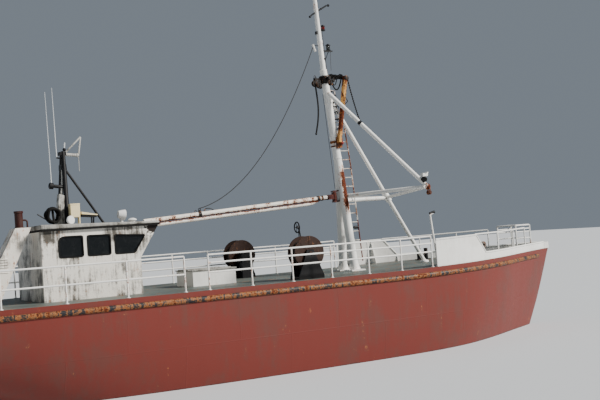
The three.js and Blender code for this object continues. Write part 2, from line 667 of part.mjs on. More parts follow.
// Windlass: a cable drum with warping heads, on two cheeks
const WINDLASS = { x: 7700, z: 3080 };
const windlassFoot = onDeck(WINDLASS.x, 250);
add('windlass_frame', cut(welded([
  ...[-1, 1].map(s => plateXZ([[7450, windlassFoot], [7950, windlassFoot], [7800, WINDLASS.z + 80],
    [7600, WINDLASS.z + 80]], s * 260 - 25, s * 260 + 25)),
  box(7480, 7920, -260, 260, windlassFoot, windlassFoot + 70),
]), [rod([WINDLASS.x, -400, WINDLASS.z], [WINDLASS.x, 400, WINDLASS.z], 51, 12)]), BLACK);
add('windlass_drum', welded([
  rod([WINDLASS.x, -560, WINDLASS.z], [WINDLASS.x, 560, WINDLASS.z], 45, 12),
  rod([WINDLASS.x, -235 + SEAT_GAP, WINDLASS.z], [WINDLASS.x, 235 - SEAT_GAP, WINDLASS.z], 75, 12),
  rod([WINDLASS.x, -215, WINDLASS.z], [WINDLASS.x, 215, WINDLASS.z], 130, 12),
  rod([WINDLASS.x, -215, WINDLASS.z], [WINDLASS.x, -190, WINDLASS.z], 200, 12),
  rod([WINDLASS.x, 190, WINDLASS.z], [WINDLASS.x, 215, WINDLASS.z], 200, 12),
  ...[-1, 1].flatMap(s => [
    rod([WINDLASS.x, s * 320, WINDLASS.z], [WINDLASS.x, s * 440, WINDLASS.z], 130, 12, 95),
    rod([WINDLASS.x, s * 440, WINDLASS.z], [WINDLASS.x, s * 560, WINDLASS.z], 95, 12, 130),
  ]),
]), STEEL, 0.5, 0.6);

// Mooring bitts, in pairs with a cross bar
function bitts(x, y) {
  const foot = onDeck(x, 280);
  return welded([
    box(x - 280, x + 280, y - 110, y + 110, foot, foot + 30),
    ...[-160, 160].map(d => rod([x + d, y, foot + 10], [x + d, y, foot + 420], 75, 8)),
    rod([x - 300, y, foot + 260], [x + 300, y, foot + 260], 32, 6),
  ]);
}
add('bitts_fore_starboard', bitts(6500, -1500), BLACK);
add('bitts_fore_port', bitts(6500, 1500), BLACK);
add('bitts_aft_starboard', bitts(-10700, -1900), BLACK);
add('bitts_aft_port', bitts(-10700, 1900), BLACK);

// Wheelhouse: steel sides, a front raked forward above the sill, and a thin wedge of a roof
const CABIN = { aft: -8100, front: -5350, sill: 3620, brow: -4790, ceiling: 4490, half: 1450, wall: 60 };
const CABIN_FLOOR = DECK_Z + SEAT_GAP;
const sideOutline = [[CABIN.aft, CABIN_FLOOR], [CABIN.front, CABIN_FLOOR], [CABIN.front, CABIN.sill],
  [CABIN.brow, CABIN.ceiling], [CABIN.aft, CABIN.ceiling]];
const WINDOW = { bottom: 3755, top: 4330, corner: 70 };
const window1 = pane(-7640, -6970, WINDOW.bottom, WINDOW.top, WINDOW.corner, 0, 5, 200);
const window2 = pane(-6850, -6200, WINDOW.bottom, WINDOW.top - 10, WINDOW.corner, 0, 10);
const window3 = pane(-6080, -5515, WINDOW.bottom, WINDOW.top - 34, WINDOW.corner, 335, 55);
add('cabin_side_starboard',
  plateXZ(sideOutline, -CABIN.half, -CABIN.half + CABIN.wall, [window1, window2, window3]), WHITE);

const DOOR = { aft: -7900, front: -7240, bottom: DECK_Z + 150, top: 4330 };
const doorway = pane(DOOR.aft, DOOR.front, DOOR.bottom, DOOR.top, 60);
add('cabin_side_port',
  plateXZ(sideOutline, CABIN.half - CABIN.wall, CABIN.half, [doorway, window2, window3]), WHITE);
const DOOR_GAP = 8;
const doorPanel = plateXZ(
  pane(DOOR.aft + DOOR_GAP, DOOR.front - DOOR_GAP, DOOR.bottom + DOOR_GAP, DOOR.top - DOOR_GAP, 55),
  CABIN.half - 45, CABIN.half - 5, [pane(DOOR.aft + 150, DOOR.front - 150, 3700, 4200, 60)]);

// The door hangs on three hinges, whose knuckles lie against the cabin's side
const KNUCKLE_R = 12;
const KNUCKLE = [DOOR.aft - 6, CABIN.half + KNUCKLE_R + SEAT_GAP];
const hinges = [2980, 3560, 4120].flatMap(z => [
  rod([...KNUCKLE, z], [...KNUCKLE, z + 120], KNUCKLE_R, 12),
  box(KNUCKLE[0], DOOR.aft + 20, KNUCKLE[1] - 8, KNUCKLE[1] + 4, z + 25, z + 95),
  box(DOOR.aft + 7, DOOR.aft + 140, CABIN.half - 8, KNUCKLE[1] + 4, z + 25, z + 95),
]);
add('cabin_door', welded([doorPanel, ...hinges]), WHITE);

const inside = CABIN.half - CABIN.wall - SEAT_GAP;
const frontSection = [[CABIN.front, CABIN_FLOOR], [CABIN.front, CABIN.sill], [CABIN.brow, CABIN.ceiling],
  [CABIN.brow - 75, CABIN.ceiling], [CABIN.front - CABIN.wall, CABIN.sill + 20],
  [CABIN.front - CABIN.wall, CABIN_FLOOR]];
const frontPanes = [-890, 0, 890].map(y =>
  plateYZ(pane(y - 370, y + 370, WINDOW.bottom, WINDOW.top - 30, WINDOW.corner), -5800, -4500));
add('cabin_front', cut(plateXZ(frontSection, -inside, inside), frontPanes), WHITE);
add('cabin_aft', box(CABIN.aft, CABIN.aft + CABIN.wall, -inside, inside, CABIN_FLOOR, CABIN.ceiling), WHITE);
const ROOF = { aft: -8110, front: -4760, aftZ: 4675, frontZ: 4605, half: 1540 };
const roofZ = x => ROOF.aftZ + (ROOF.frontZ - ROOF.aftZ) * (x - ROOF.aft) / (ROOF.front - ROOF.aft);
const onRoof = (x, half) => roofZ(x - half) + SEAT_GAP;
add('cabin_roof', plateXZ([[ROOF.aft, CABIN.ceiling + SEAT_GAP], [ROOF.front, CABIN.ceiling + SEAT_GAP],
  [ROOF.front, ROOF.frontZ], [ROOF.aft, ROOF.aftZ]], -ROOF.half, ROOF.half), GREY);

// Inside: a helm console under the front windows and a seat on a post
add('helm_console', plateXZ([[-6050, CABIN_FLOOR], [-5411, CABIN_FLOOR], [-5411, 3600], [-5800, 3600],
  [-6050, 3450]], -900, 900), 0x4a4238);
add('helm_seat', welded([
  rod([-6700, 0, CABIN_FLOOR], [-6700, 0, 3200], 60, 10),
  rod([-6700, 0, CABIN_FLOOR], [-6700, 0, CABIN_FLOOR + 30], 220, 14),
  box(-6950, -6460, -240, 240, 3180, 3280),
  box(-7010, -6930, -230, 230, 3190, 3780),
]), BLACK);

// Engine casing behind the wheelhouse: a raked trunk, with the exhaust out of its top
const CASING = { topZ: 4640, starboard: -1050, port: -400 };
add('engine_casing', plateXZ([[-9765, CABIN_FLOOR], [-9200, CABIN_FLOOR], [-8240, CASING.topZ],
  [-8660, CASING.topZ]], CASING.starboard, CASING.port), WHITE);
const EXHAUST = [-8500, -800];
const DRAIN_X = EXHAUST[0] + 220;
add('exhaust_pipe', welded([
  rod([...EXHAUST, CASING.topZ + SEAT_GAP], [...EXHAUST, 5060], 108, 14),
  rod([...EXHAUST, 5040], [...EXHAUST, 5110], 122, 14),
  rod([EXHAUST[0], EXHAUST[1], 4850], [DRAIN_X, EXHAUST[1], 4850], 24, 8),
  rod([DRAIN_X, EXHAUST[1], 4862], [DRAIN_X, EXHAUST[1], CASING.topZ + SEAT_GAP], 24, 8),
]), RUST);

// Roof mast: two black legs and a strut forward, with its lamp bracket, whips and cross bar
const ROOF_MAST = { x: -7000, topZ: 6770 };
function roofMast() {
  const foot = (x, y, r) => rod([x, y, onRoof(x, r)], [x, y, onRoof(x, r) + 40], r, 10);
  return welded([
    rod([-7070, -430, onRoof(-7070, 110) + 25], [ROOF_MAST.x + 20, -60, ROOF_MAST.topZ], 58, 8),
    rod([-7070, 430, onRoof(-7070, 110) + 25], [ROOF_MAST.x + 20, 60, ROOF_MAST.topZ], 58, 8),
    rod([-5890, 0, onRoof(-5890, 90) + 30], [ROOF_MAST.x + 30, 0, 6320], 34, 6),
    box(-7080, -6920, -150, 150, 6260, 6390),
    foot(-7070, -430, 110), foot(-7070, 430, 110), foot(-5890, 0, 90),
    rod([ROOF_MAST.x, 0, 6700], [-6515, 0, 6655], 45, 8),
    rod([-7010, -200, 5740], [-7420, -200, 5790], 50, 6),
    rod([-7400, -200, 5780], [-7430, -200, 8450], 12, 4),
    rod([-7010, -60, 6560], [-7180, -60, 6600], 24, 5),
    rod([-7170, -60, 6590], [-7190, -60, 8600], 12, 4),
  ]);
}
add('roof_mast', roofMast(), BLACK);

// Boxes and lamps on the roof
add('roof_box', welded([
  box(-7050, -6770, -700, -470, 4854, 5245),
  ...[-7020, -6800].map(x => box(x - 20, x + 20, -690, -560, onRoof(x, 20), 4870)),
]), 0xd8cc9a);
add('searchlight', welded([
  rod([-5590, -700, onRoof(-5590, 40)], [-5590, -700, 4840], 40, 10),
  rod([-5700, -700, 4845], [-5480, -700, 4835], 130, 14, 150),
]), STEEL);

// Masthead lamp shelf on the forward side of the pole
add('mast_lantern', cut(welded([
  box(mastAt(9950)[0] + 40, mastAt(9950)[0] + 420, -60, 60, 9930, 9965),
  rod([mastAt(9950)[0] + 290, 0, 9960], [mastAt(9950)[0] + 290, 0, 10180], 80, 12),
]), mastCutter), BLACK);

export default part;
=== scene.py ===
"""A steel fishing trawler afloat. Metres: +X towards the bow, +Y to port, +Z up, z = 0 at the water."""

import math

import bpy
import numpy as np
from mathutils import Matrix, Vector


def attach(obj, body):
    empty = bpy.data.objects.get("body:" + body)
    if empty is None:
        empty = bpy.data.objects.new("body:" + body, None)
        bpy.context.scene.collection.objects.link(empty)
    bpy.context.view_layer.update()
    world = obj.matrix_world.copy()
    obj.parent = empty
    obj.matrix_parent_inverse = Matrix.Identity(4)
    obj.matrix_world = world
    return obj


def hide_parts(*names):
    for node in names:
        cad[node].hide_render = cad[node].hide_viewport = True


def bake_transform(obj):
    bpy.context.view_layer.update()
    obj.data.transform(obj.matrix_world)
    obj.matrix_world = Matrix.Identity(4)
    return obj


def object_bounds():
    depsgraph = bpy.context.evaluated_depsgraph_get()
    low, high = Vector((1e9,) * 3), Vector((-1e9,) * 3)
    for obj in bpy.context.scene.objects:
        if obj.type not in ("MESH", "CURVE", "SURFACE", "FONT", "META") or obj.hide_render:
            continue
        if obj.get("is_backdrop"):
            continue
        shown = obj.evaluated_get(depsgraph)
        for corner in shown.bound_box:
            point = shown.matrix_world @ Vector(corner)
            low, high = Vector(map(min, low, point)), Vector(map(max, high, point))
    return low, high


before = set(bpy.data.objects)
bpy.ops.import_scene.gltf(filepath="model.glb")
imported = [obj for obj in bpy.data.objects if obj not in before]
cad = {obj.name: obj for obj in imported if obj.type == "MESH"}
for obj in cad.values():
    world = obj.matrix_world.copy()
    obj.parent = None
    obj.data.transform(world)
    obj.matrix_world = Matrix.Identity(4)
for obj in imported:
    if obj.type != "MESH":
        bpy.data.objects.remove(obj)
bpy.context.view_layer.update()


# The view of the photograph. The boat is seen from off its starboard quarter, by a camera a
# little above the deck's height; the three directions were found from the mast, the boom and
# the rails.
PICTURE_WIDTH = 600
FOCAL_PIXELS = 950
SENSOR_WIDTH = 36
EYE = (-14.39, -26.9, 4.0)
EYE_RIGHT = (0.87138, -0.48538, -0.07141)
EYE_UP = (0.04602, -0.06406, 0.99688)
EYE_FORWARD = (0.48844, 0.87195, 0.03348)


def linked(name, data):
    """A new object in the scene with its data."""
    item = bpy.data.objects.new(name, data)
    bpy.context.collection.objects.link(item)
    return item


camera = linked("camera", bpy.data.cameras.new("camera"))
camera.data.sensor_width = SENSOR_WIDTH
camera.data.lens = SENSOR_WIDTH * FOCAL_PIXELS / PICTURE_WIDTH
camera.data.clip_end = 500
eye_turn = Matrix((EYE_RIGHT, EYE_UP, [-v for v in EYE_FORWARD])).transposed().to_4x4()
camera.matrix_world = Matrix.Translation(EYE) @ eye_turn
bpy.context.scene.camera = camera


# A pale plain floor at the waterline, a bright soft key light over the starboard side and a
# pale sky.
FLOOR_HALF = 160


def feed(tree, sockets, values):
    """Each socket takes its value, or is linked where it is given an output."""
    for key, value in values.items():
        if isinstance(value, bpy.types.NodeSocket):
            tree.links.new(value, sockets[key])
        else:
            sockets[key].default_value = value


def new_material(name):
    """A material with its tree and its surface's sockets."""
    material = bpy.data.materials.new(name)
    material.use_nodes = True
    return material, material.node_tree, material.node_tree.nodes["Principled BSDF"].inputs


floor_mesh = bpy.data.meshes.new("floor")
floor_mesh.from_pydata([(x * FLOOR_HALF, y * FLOOR_HALF, 0) for x, y in
                        ((-1, -1), (1, -1), (1, 1), (-1, 1))], [], [(0, 1, 2, 3)])
floor_paint, tree, surface = new_material("floor_paint")
feed(tree, surface, {"Base Color": (0.62, 0.64, 0.66, 1), "Roughness": 0.9})
floor_mesh.materials.append(floor_paint)
linked("floor", floor_mesh)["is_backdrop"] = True

sun = linked("sun", bpy.data.lights.new("sun", "SUN"))
sun.data.energy = 6.4
sun.data.angle = math.radians(9)
sun.data.color = (1.0, 0.97, 0.92)
sun.rotation_euler = (math.radians(56), 0, math.radians(48))

sky = bpy.data.worlds.new("sky")
sky.use_nodes = True
feed(sky.node_tree, sky.node_tree.nodes["Background"].inputs, {"Color": (0.62, 0.72, 0.84, 1), "Strength": 0.3})
bpy.context.scene.world = sky


# Hull: steel plating on frames, red above and darker below the water, with a flush steel deck,
# a bar keel, a skeg with the rudder's shoe and a half-round rubbing strake under the deck edge.
STEM_X = 11.2
TRANSOM_X = -11.2
DECK_Z = 2.6
SHEER_START_X = 2.8
SHEER_RISE = 0.14
SEAT = 0.0005
# Rows: x, height of the hull's bottom, half beam at the deck, fullness of the section
HULL_ROWS = np.array([
    (-11.2, 0.38, 2.56, 2.6), (-10.3, 0.12, 2.76, 2.5), (-9.2, -0.33, 2.9, 2.4),
    (-8.0, -0.86, 3.0, 2.4), (-6.2, -1.45, 3.07, 2.5), (-3.2, -1.88, 3.1, 2.8),
    (0.0, -2.0, 3.1, 3.0), (3.0, -2.0, 3.07, 2.8), (5.2, -1.96, 2.85, 2.2),
    (7.2, -1.8, 2.13, 1.7), (8.8, -1.35, 1.27, 1.4), (9.7, -0.56, 0.79, 1.25),
    (10.4, 0.7, 0.44, 1.18), (10.9, 1.85, 0.2, 1.12), (11.2, 2.62, 0.06, 1.1)])
KEEL_HALF = 0.13
KEEL_OUTLINE = [(-9.83, -2.6), (7.4, -2.6), (8.35, -2.25), (9.05, -1.5), (9.0, -0.9), (8.3, -1.5),
                (7.0, -1.6), (0, -1.8), (-6, -1.2), (-8.4, -0.35), (-8.4, -2.44), (-9.83, -2.44)]
STRAKE_BELOW = 0.22
HULL_RED = (0.165, 0.03, 0.022)
HULL_UNDER = (0.075, 0.02, 0.018)


def row_value(column, x):
    """A column of the hull's rows at each x, on the cubic with each row's own slope."""
    xs, values = HULL_ROWS[:, 0], HULL_ROWS[:, column]
    last = len(xs) - 1
    before = np.maximum(np.arange(last + 1) - 1, 0)
    after = np.minimum(np.arange(last + 1) + 1, last)
    slopes = (values[after] - values[before]) / (xs[after] - xs[before])
    x = np.asarray(x, float)
    i = np.clip(np.searchsorted(xs, x, side="left") - 1, 0, last - 1)
    span = xs[i + 1] - xs[i]
    t = (x - xs[i]) / span
    return ((2 * t**3 - 3 * t**2 + 1) * values[i] + (t**3 - 2 * t**2 + t) * slopes[i] * span
            + (3 * t**2 - 2 * t**3) * values[i + 1] + (t**3 - t**2) * slopes[i + 1] * span)


def deck_z(x):
    """Level aft of the sheer's start, then a straight rise to the stem."""
    rise = (np.asarray(x, float) - SHEER_START_X) / (STEM_X - SHEER_START_X)
    return DECK_Z + SHEER_RISE * np.maximum(rise, 0)


def breadth_at(x, z):
    """Half the hull's breadth at a height, from the section's superellipse."""
    full = row_value(3, x)
    bottom = row_value(1, x)
    up = (z - bottom) / (deck_z(x) - bottom)
    return row_value(2, x) * (1 - np.clip(1 - up, 0, 1) ** full) ** (1 / full)


def grid_faces(rows, columns, wrap_rows=False, wrap_columns=False):
    """Each face joins a point, its neighbour in the row and the two points of the next row."""
    r = np.arange(rows if wrap_rows else rows - 1)[:, None]
    c = np.arange(columns if wrap_columns else columns - 1)[None, :]
    next_r, next_c = (r + 1) % rows, (c + 1) % columns
    corners = (r * columns + c, r * columns + next_c, next_r * columns + next_c, next_r * columns + c)
    return np.stack(corners, -1).reshape(-1, 4).tolist()


def turned_over(faces):
    """The faces seen from their other side."""
    return [face[::-1] for face in faces]


def closed_faces(rows, columns):
    """Rings joined each to the next, with a flat cap on the first and on the last."""
    caps = [list(range(columns))[::-1], list(range((rows - 1) * columns, rows * columns))]
    return grid_faces(rows, columns, wrap_columns=True) + caps


def joined(shapes):
    """Several shapes' points and faces as one shape."""
    points, faces, count = [], [], 0
    for p, f in shapes:
        p = np.asarray(p, float).reshape(-1, 3)
        points.append(p)
        faces += [[i + count for i in face] for face in f]
        count += len(p)
    return np.concatenate(points), faces


def mirrored(shapes):
    """The same shapes on the other side of the centre plane, their faces turned to point outwards."""
    return [(np.asarray(points) * (1, -1, 1), turned_over(faces)) for points, faces in shapes]


slot_of = {}


def made(name, shapes, material, body="boat", slot=None, stands_for="", rust=None, bevel=0.0,
         sharp=35, material_index=None):
    """A piece from its shapes, smooth between creases. It rides on its body. Its slot is worked out,
    from its paint unless given, but not used. Rust is an amount, or a function that gives one at each point."""
    points, faces = joined(shapes)
    mesh = bpy.data.meshes.new(name)
    mesh.from_pydata(points.tolist(), [], faces)
    materials = material if isinstance(material, list) else [material]
    for m in materials:
        mesh.materials.append(m)
    if material_index is not None:
        mesh.polygons.foreach_set("material_index", material_index)
    mesh.shade_smooth()
    mesh.set_sharp_from_angle(angle=math.radians(sharp))
    if rust is not None:
        amount = rust(points) if callable(rust) else np.full(len(points), rust)
        mesh.attributes.new("rust", "FLOAT", "POINT").data.foreach_set("value", np.asarray(amount, np.float32))
    mesh.validate()
    piece = linked(name, mesh)
    if bevel:
        edge = piece.modifiers.new("edge", "BEVEL")
        edge.width = bevel
        edge.segments = 2
        edge.limit_method = "ANGLE"
        edge.harden_normals = False
    if body:
        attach(piece, body)
    slot = slot_of.get(materials[0].name, "") if slot is None else slot
    if stands_for:
        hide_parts(stands_for)
    return piece


def slab(outline, low, high, across="y"):
    """A flat outline carried straight across from low to high, closed by its two flat ends."""
    outline = np.asarray(outline, float)
    area = np.sum(outline[:, 0] * np.roll(outline[:, 1], -1) - np.roll(outline[:, 0], -1) * outline[:, 1])
    if area < 0:
        outline = outline[::-1]
    levels = np.repeat([low, high], len(outline))
    columns = list(np.concatenate([outline, outline]).T)
    columns.insert("xyz".index(across), levels)
    faces = closed_faces(2, len(outline))
    return np.stack(columns, 1), turned_over(faces) if across == "y" else faces


def place(tree, kind, sockets=None, **settings):
    """A node in a tree, with its settings, and its sockets fed."""
    node = tree.nodes.new(kind)
    for key, value in settings.items():
        setattr(node, key, value)
    feed(tree, node.inputs, sockets or {})
    return node


def object_point(tree):
    """Object coordinates."""
    return place(tree, "ShaderNodeTexCoord").outputs["Object"]


def ramp(tree, factor, stops):
    """A colour ramp whose stops are (position, colour)."""
    node = place(tree, "ShaderNodeValToRGB", {"Fac": factor})
    while len(node.color_ramp.elements) < len(stops):
        node.color_ramp.elements.new(0.5)
    for element, (position, colour) in zip(node.color_ramp.elements, stops):
        element.position = position
        element.color = (*colour, 1)
    return node.outputs["Color"]


def mix(tree, factor, a, b):
    """Two colours mixed by a factor."""
    node = place(tree, "ShaderNodeMix", data_type="RGBA")
    feed(tree, node.inputs, {0: factor, 6: (*a, 1) if isinstance(a, tuple) else a,
                             7: (*b, 1) if isinstance(b, tuple) else b})
    return node.outputs[2]


def maths(tree, operation, *values):
    """One maths node over two or three values or outputs."""
    return place(tree, "ShaderNodeMath", dict(enumerate(values)), operation=operation).outputs[0]


def weighed(tree, *terms):
    """The sum of values, each times its weight."""
    total = 0.0
    for value, weight in terms:
        total = maths(tree, "MULTIPLY_ADD", value, weight, total)
    return total


def spread(tree, value, low, high, to_low=0.0, to_high=1.0):
    """A value's range from low to high eased to another range, and held outside it."""
    return place(tree, "ShaderNodeMapRange", {0: value, 1: low, 2: high, 3: to_low, 4: to_high},
                 interpolation_type="SMOOTHSTEP").outputs[0]


def noise(tree, vector, scale, detail=6.0, rough=0.6, distortion=0.0):
    """A noise's grey value at a vector."""
    return place(tree, "ShaderNodeTexNoise",
                 {"Vector": vector, "Scale": scale, "Detail": detail, "Roughness": rough,
                  "Distortion": distortion}).outputs["Fac"]


def raised(tree, height, strength, distance):
    """The normal of a surface with this height over it."""
    return place(tree, "ShaderNodeBump", {"Strength": strength, "Distance": distance, "Height": height}).outputs[0]


# Sea-worn paint: rust breaks through in patches and runs down from them, stains the paint
# round it, and soot and salt gather in broad areas and thin runs.
SALT_GREY = (0.09, 0.08, 0.07)
SOOT = (0.07, 0.062, 0.05)
RUST_STAIN = (0.62, 0.24, 0.07)
RUST_TINTS = [(0.38, (0.012, 0.005, 0.004)), (0.5, (0.075, 0.016, 0.007)), (0.66, (0.36, 0.075, 0.01))]

worn = bpy.data.node_groups.new("sea_worn_paint", "ShaderNodeTree")
for direction, sockets in (
        ("INPUT", {"Position": "Vector", "Paint": "Color", "Rust": "Float", "Near": "Float", "Dirt": "Float",
                   "Size": "Float"}),
        ("OUTPUT", {"Color": "Color", "Roughness": "Float", "Height": "Float"})):
    for socket_name, kind in sockets.items():
        worn.interface.new_socket(name=socket_name, in_out=direction, socket_type=f"NodeSocket{kind}")
given = worn.nodes.new("NodeGroupInput").outputs
sized = place(worn, "ShaderNodeVectorMath", {0: given["Position"], 3: given["Size"]}, operation="SCALE").outputs[0]
long_runs = place(worn, "ShaderNodeVectorMath", {0: sized, 1: (9.0, 9.0, 0.7)}, operation="MULTIPLY").outputs[0]
patches = noise(worn, sized, 2.3, 8, 0.66, 0.3)
runs = noise(worn, long_runs, 1.0, 5, 0.6)
specks = noise(worn, sized, 17.0, 6, 0.7)
field = weighed(worn, (patches, 0.36), (runs, 0.34), (specks, 0.3))
limit = maths(worn, "MULTIPLY_ADD", maths(worn, "ADD", given["Rust"], given["Near"]), -0.3, 0.68)
rust_mask = spread(worn, field, limit, maths(worn, "ADD", limit, 0.03))
stain = spread(worn, field, maths(worn, "SUBTRACT", limit, 0.05), maths(worn, "ADD", limit, 0.02))
soot = spread(worn, weighed(worn, (noise(worn, sized, 0.8, 5), 0.55), (runs, 0.3), (specks, 0.15)), 0.47, 0.6)
soot = maths(worn, "MULTIPLY", soot, given["Dirt"])
flecks = maths(worn, "MULTIPLY", spread(worn, noise(worn, sized, 46.0, 4, 0.7), 0.5, 0.72, 0.0, 0.5), given["Dirt"])
seen = mix(worn, flecks, given["Paint"], SALT_GREY)
seen = mix(worn, maths(worn, "MULTIPLY", soot, 0.85), seen, SOOT)
seen = mix(worn, maths(worn, "MULTIPLY", stain, 0.7), seen, RUST_STAIN)
seen = mix(worn, rust_mask, seen, ramp(worn, noise(worn, sized, 23.0, 7, 0.7), RUST_TINTS))
gloss = maths(worn, "MAXIMUM", maths(worn, "MULTIPLY_ADD", specks, 0.35, 0.32), maths(worn, "MULTIPLY", stain, 0.9))
feed(worn, worn.nodes.new("NodeGroupOutput").inputs,
     {"Color": seen, "Roughness": gloss, "Height": weighed(worn, (rust_mask, -0.4), (specks, 0.25))})


def painted(name, paint, slot, rust=0.2, dirt=0.3, size=1.0, bump=0.4, metallic=0.0):
    """Sea-worn paint in one colour; the rust kept on a piece's points adds to its own."""
    material, tree, surface = new_material(name)
    slot_of[material.name] = slot
    kept = place(tree, "ShaderNodeAttribute", attribute_name="rust").outputs["Fac"]
    effect = place(tree, "ShaderNodeGroup", node_tree=worn)
    feed(tree, effect.inputs, {"Position": object_point(tree), "Paint": (*paint, 1), "Rust": rust, "Near": kept,
                               "Dirt": dirt, "Size": size})
    seen = effect.outputs
    feed(tree, surface, {"Metallic": metallic, "Specular IOR Level": 0.25, "Base Color": seen["Color"],
                         "Roughness": seen["Roughness"], "Normal": raised(tree, seen["Height"], bump, 0.004)})
    return material


def opened(material):
    """A painted material's tree, Object coordinates, effect and bump."""
    tree = material.node_tree
    kinds = {node.bl_idname: node for node in tree.nodes}
    return (tree, kinds["ShaderNodeTexCoord"].outputs["Object"], kinds["ShaderNodeGroup"], kinds["ShaderNodeBump"])


# Red topsides over a dark bottom, with weld seams of the plates and dents between the frames
hull_red = painted("hull_red", HULL_RED, "hull_paint", rust=0.12, dirt=0.35, size=0.8)
tree, at, effect, bumps = opened(hull_red)
split = place(tree, "ShaderNodeSeparateXYZ", {0: at}).outputs
edge = maths(tree, "MULTIPLY_ADD", noise(tree, at, 1.5, 4), 0.1, -0.02)
under = spread(tree, split["Z"], maths(tree, "SUBTRACT", edge, 0.02), edge, 1.0, 0.0)
flat = place(tree, "ShaderNodeCombineXYZ", {"X": split["X"], "Y": split["Z"]}).outputs[0]
plates = place(tree, "ShaderNodeTexBrick",
               {"Vector": flat, "Color1": (0.5, 0.5, 0.5, 1), "Color2": (0.5, 0.5, 0.5, 1),
                "Mortar": (1, 1, 1, 1), "Scale": 1.0, "Mortar Size": 0.012, "Mortar Smooth": 0.6,
                "Brick Width": 3.2, "Row Height": 1.15}, offset=0.5).outputs["Fac"]
ribs = maths(tree, "SINE", maths(tree, "MULTIPLY", split["X"], 2 * math.pi / 0.55))
dents = maths(tree, "MULTIPLY", ribs, noise(tree, at, 0.7, 2))
feed(tree, effect.inputs, {"Paint": mix(tree, under, HULL_RED, HULL_UNDER)})
feed(tree, bumps.inputs, {"Distance": 0.008,
                          "Height": weighed(tree, (dents, 0.35), (effect.outputs["Height"], 1.0), (plates, 0.8))})
deck_green = painted("deck_green", (0.10, 0.125, 0.115), "hull_paint", rust=0.32, dirt=0.6, size=1.3, bump=0.7)
strake_black = painted("strake_black", (0.02, 0.02, 0.022), "black_paint", rust=0.55, dirt=0.1, size=1.4)

# Along the hull: points close together near the ends. Round the hull: from the port deck edge
# down under the keel to the starboard deck edge, then back across the deck.
stations = TRANSOM_X + (STEM_X - TRANSOM_X) * np.linspace(0, 1, 190) ** 0.97
girth = np.linspace(-1, 1, 57)
x = stations[:, None]
power = 2 / row_value(3, x)
angle = np.abs(girth)[None, :] * math.pi / 2
side_y = -np.sign(girth) * row_value(2, x) * np.sin(angle) ** power
side_z = deck_z(x) - (deck_z(x) - row_value(1, x)) * np.clip(np.cos(angle), 0, 1) ** power
side_z[:, [0, -1]] = deck_z(x)
across_deck = np.linspace(-1, 1, 15)[None, 1:-1]
hull_y = np.concatenate([side_y, row_value(2, x) * across_deck], 1)
hull_z = np.concatenate([side_z, deck_z(x) + 0 * across_deck], 1)
hull_points = np.stack([np.broadcast_to(x, hull_y.shape), hull_y, hull_z], -1)
rows, columns = hull_y.shape
is_deck = np.tile((np.arange(columns) >= len(girth) - 1).astype(int), rows - 1).tolist()
made("hull_shell", [(hull_points.reshape(-1, 3), turned_over(closed_faces(rows, columns)))],
     [hull_red, deck_green], stands_for="hull", material_index=is_deck + [0, 0], sharp=30)


def strip_along(x, profile):
    """A band's profile of (outwards, up) steps from the plating, carried along the hull's side."""
    top = deck_z(x) - STRAKE_BELOW
    y = breadth_at(x, top)
    points = np.stack([np.broadcast_to(x[:, None], (len(x), len(profile))),
                       y[:, None] + profile[None, :, 0], top[:, None] + profile[None, :, 1]], -1)
    return points.reshape(-1, 3), closed_faces(len(x), len(profile))


half_turn = np.linspace(-math.pi / 2, math.pi / 2, 9)
half_round = np.array([(-0.02, -0.075), *zip(0.065 * np.cos(half_turn), 0.075 * np.sin(half_turn)), (-0.02, 0.075)])
strake = [strip_along(np.linspace(TRANSOM_X + 0.05, 10.3, 120), half_round)]
made("rubbing_strake", strake + mirrored(strake), strake_black)
made("keel_and_skeg", [slab(KEEL_OUTLINE, -KEEL_HALF, KEEL_HALF)], hull_red, bevel=0.02)


# Tubes: most of the gear is welded from round steel pipe, cut, bent and capped. A tube follows
# a path, and rings, flanges and other round pieces are turned about an axis.
FORWARD, ACROSS, UP = (1, 0, 0), (0, 1, 0), (0, 0, 1)


def unit(v):
    """Directions of length one."""
    v = np.asarray(v, float)
    return v / np.linalg.norm(v, axis=-1, keepdims=True)


def rings(centres, along, side, radius, sides):
    """Circles about each centre, joined one to the next and closed at both ends."""
    other = np.cross(along, side)
    turn = np.linspace(0, 2 * math.pi, sides, endpoint=False)[None, :, None]
    spokes = np.cos(turn) * side[:, None, :] + np.sin(turn) * other[:, None, :]
    points = centres[:, None, :] + radius[:, None, None] * spokes
    return points.reshape(-1, 3), closed_faces(len(centres), sides)


def tube(path, radius, sides=14):
    """Rings of equal steps stand square to a path at each of its points, closed by flat ends."""
    path = np.asarray(path, float)
    radius = np.broadcast_to(np.asarray(radius, float), len(path))
    along = unit(np.gradient(path, axis=0))
    side = unit(np.cross(along, np.eye(3)[np.argmin(np.abs(along).max(0))]))
    return rings(path, along, side, radius, sides)


def turned(profile, origin, axis, sides=24):
    """A profile of (distance along the axis, radius) steps, turned once about the axis."""
    profile = np.asarray(profile, float)
    axis = unit(axis)
    side = unit(np.cross(axis, np.eye(3)[np.argmin(np.abs(axis))]))
    many = np.ones((len(profile), 1))
    return rings(np.asarray(origin, float) + profile[:, :1] * axis, many * axis, many * side, profile[:, 1], sides)


def bend(before, corner, after, reach, steps=5):
    """Points that round a corner, from a reach before it to a reach after it."""
    start, end = corner + unit(before - corner) * reach, corner + unit(after - corner) * reach
    t = np.linspace(0, 1, steps)[:, None]
    return (1 - t) ** 2 * start + 2 * t * (1 - t) * corner + t**2 * end


def rounded(corners, radius, steps=5):
    """A path whose inner corners are rounded."""
    corners = np.asarray(corners, float)
    path = [corners[0]]
    for before, corner, after in zip(corners, corners[1:], corners[2:]):
        reach = min(radius, np.linalg.norm(corner - before) / 2, np.linalg.norm(after - corner) / 2)
        path.extend(bend(before, corner, after, reach, steps))
    path.append(corners[-1])
    return np.array(path)


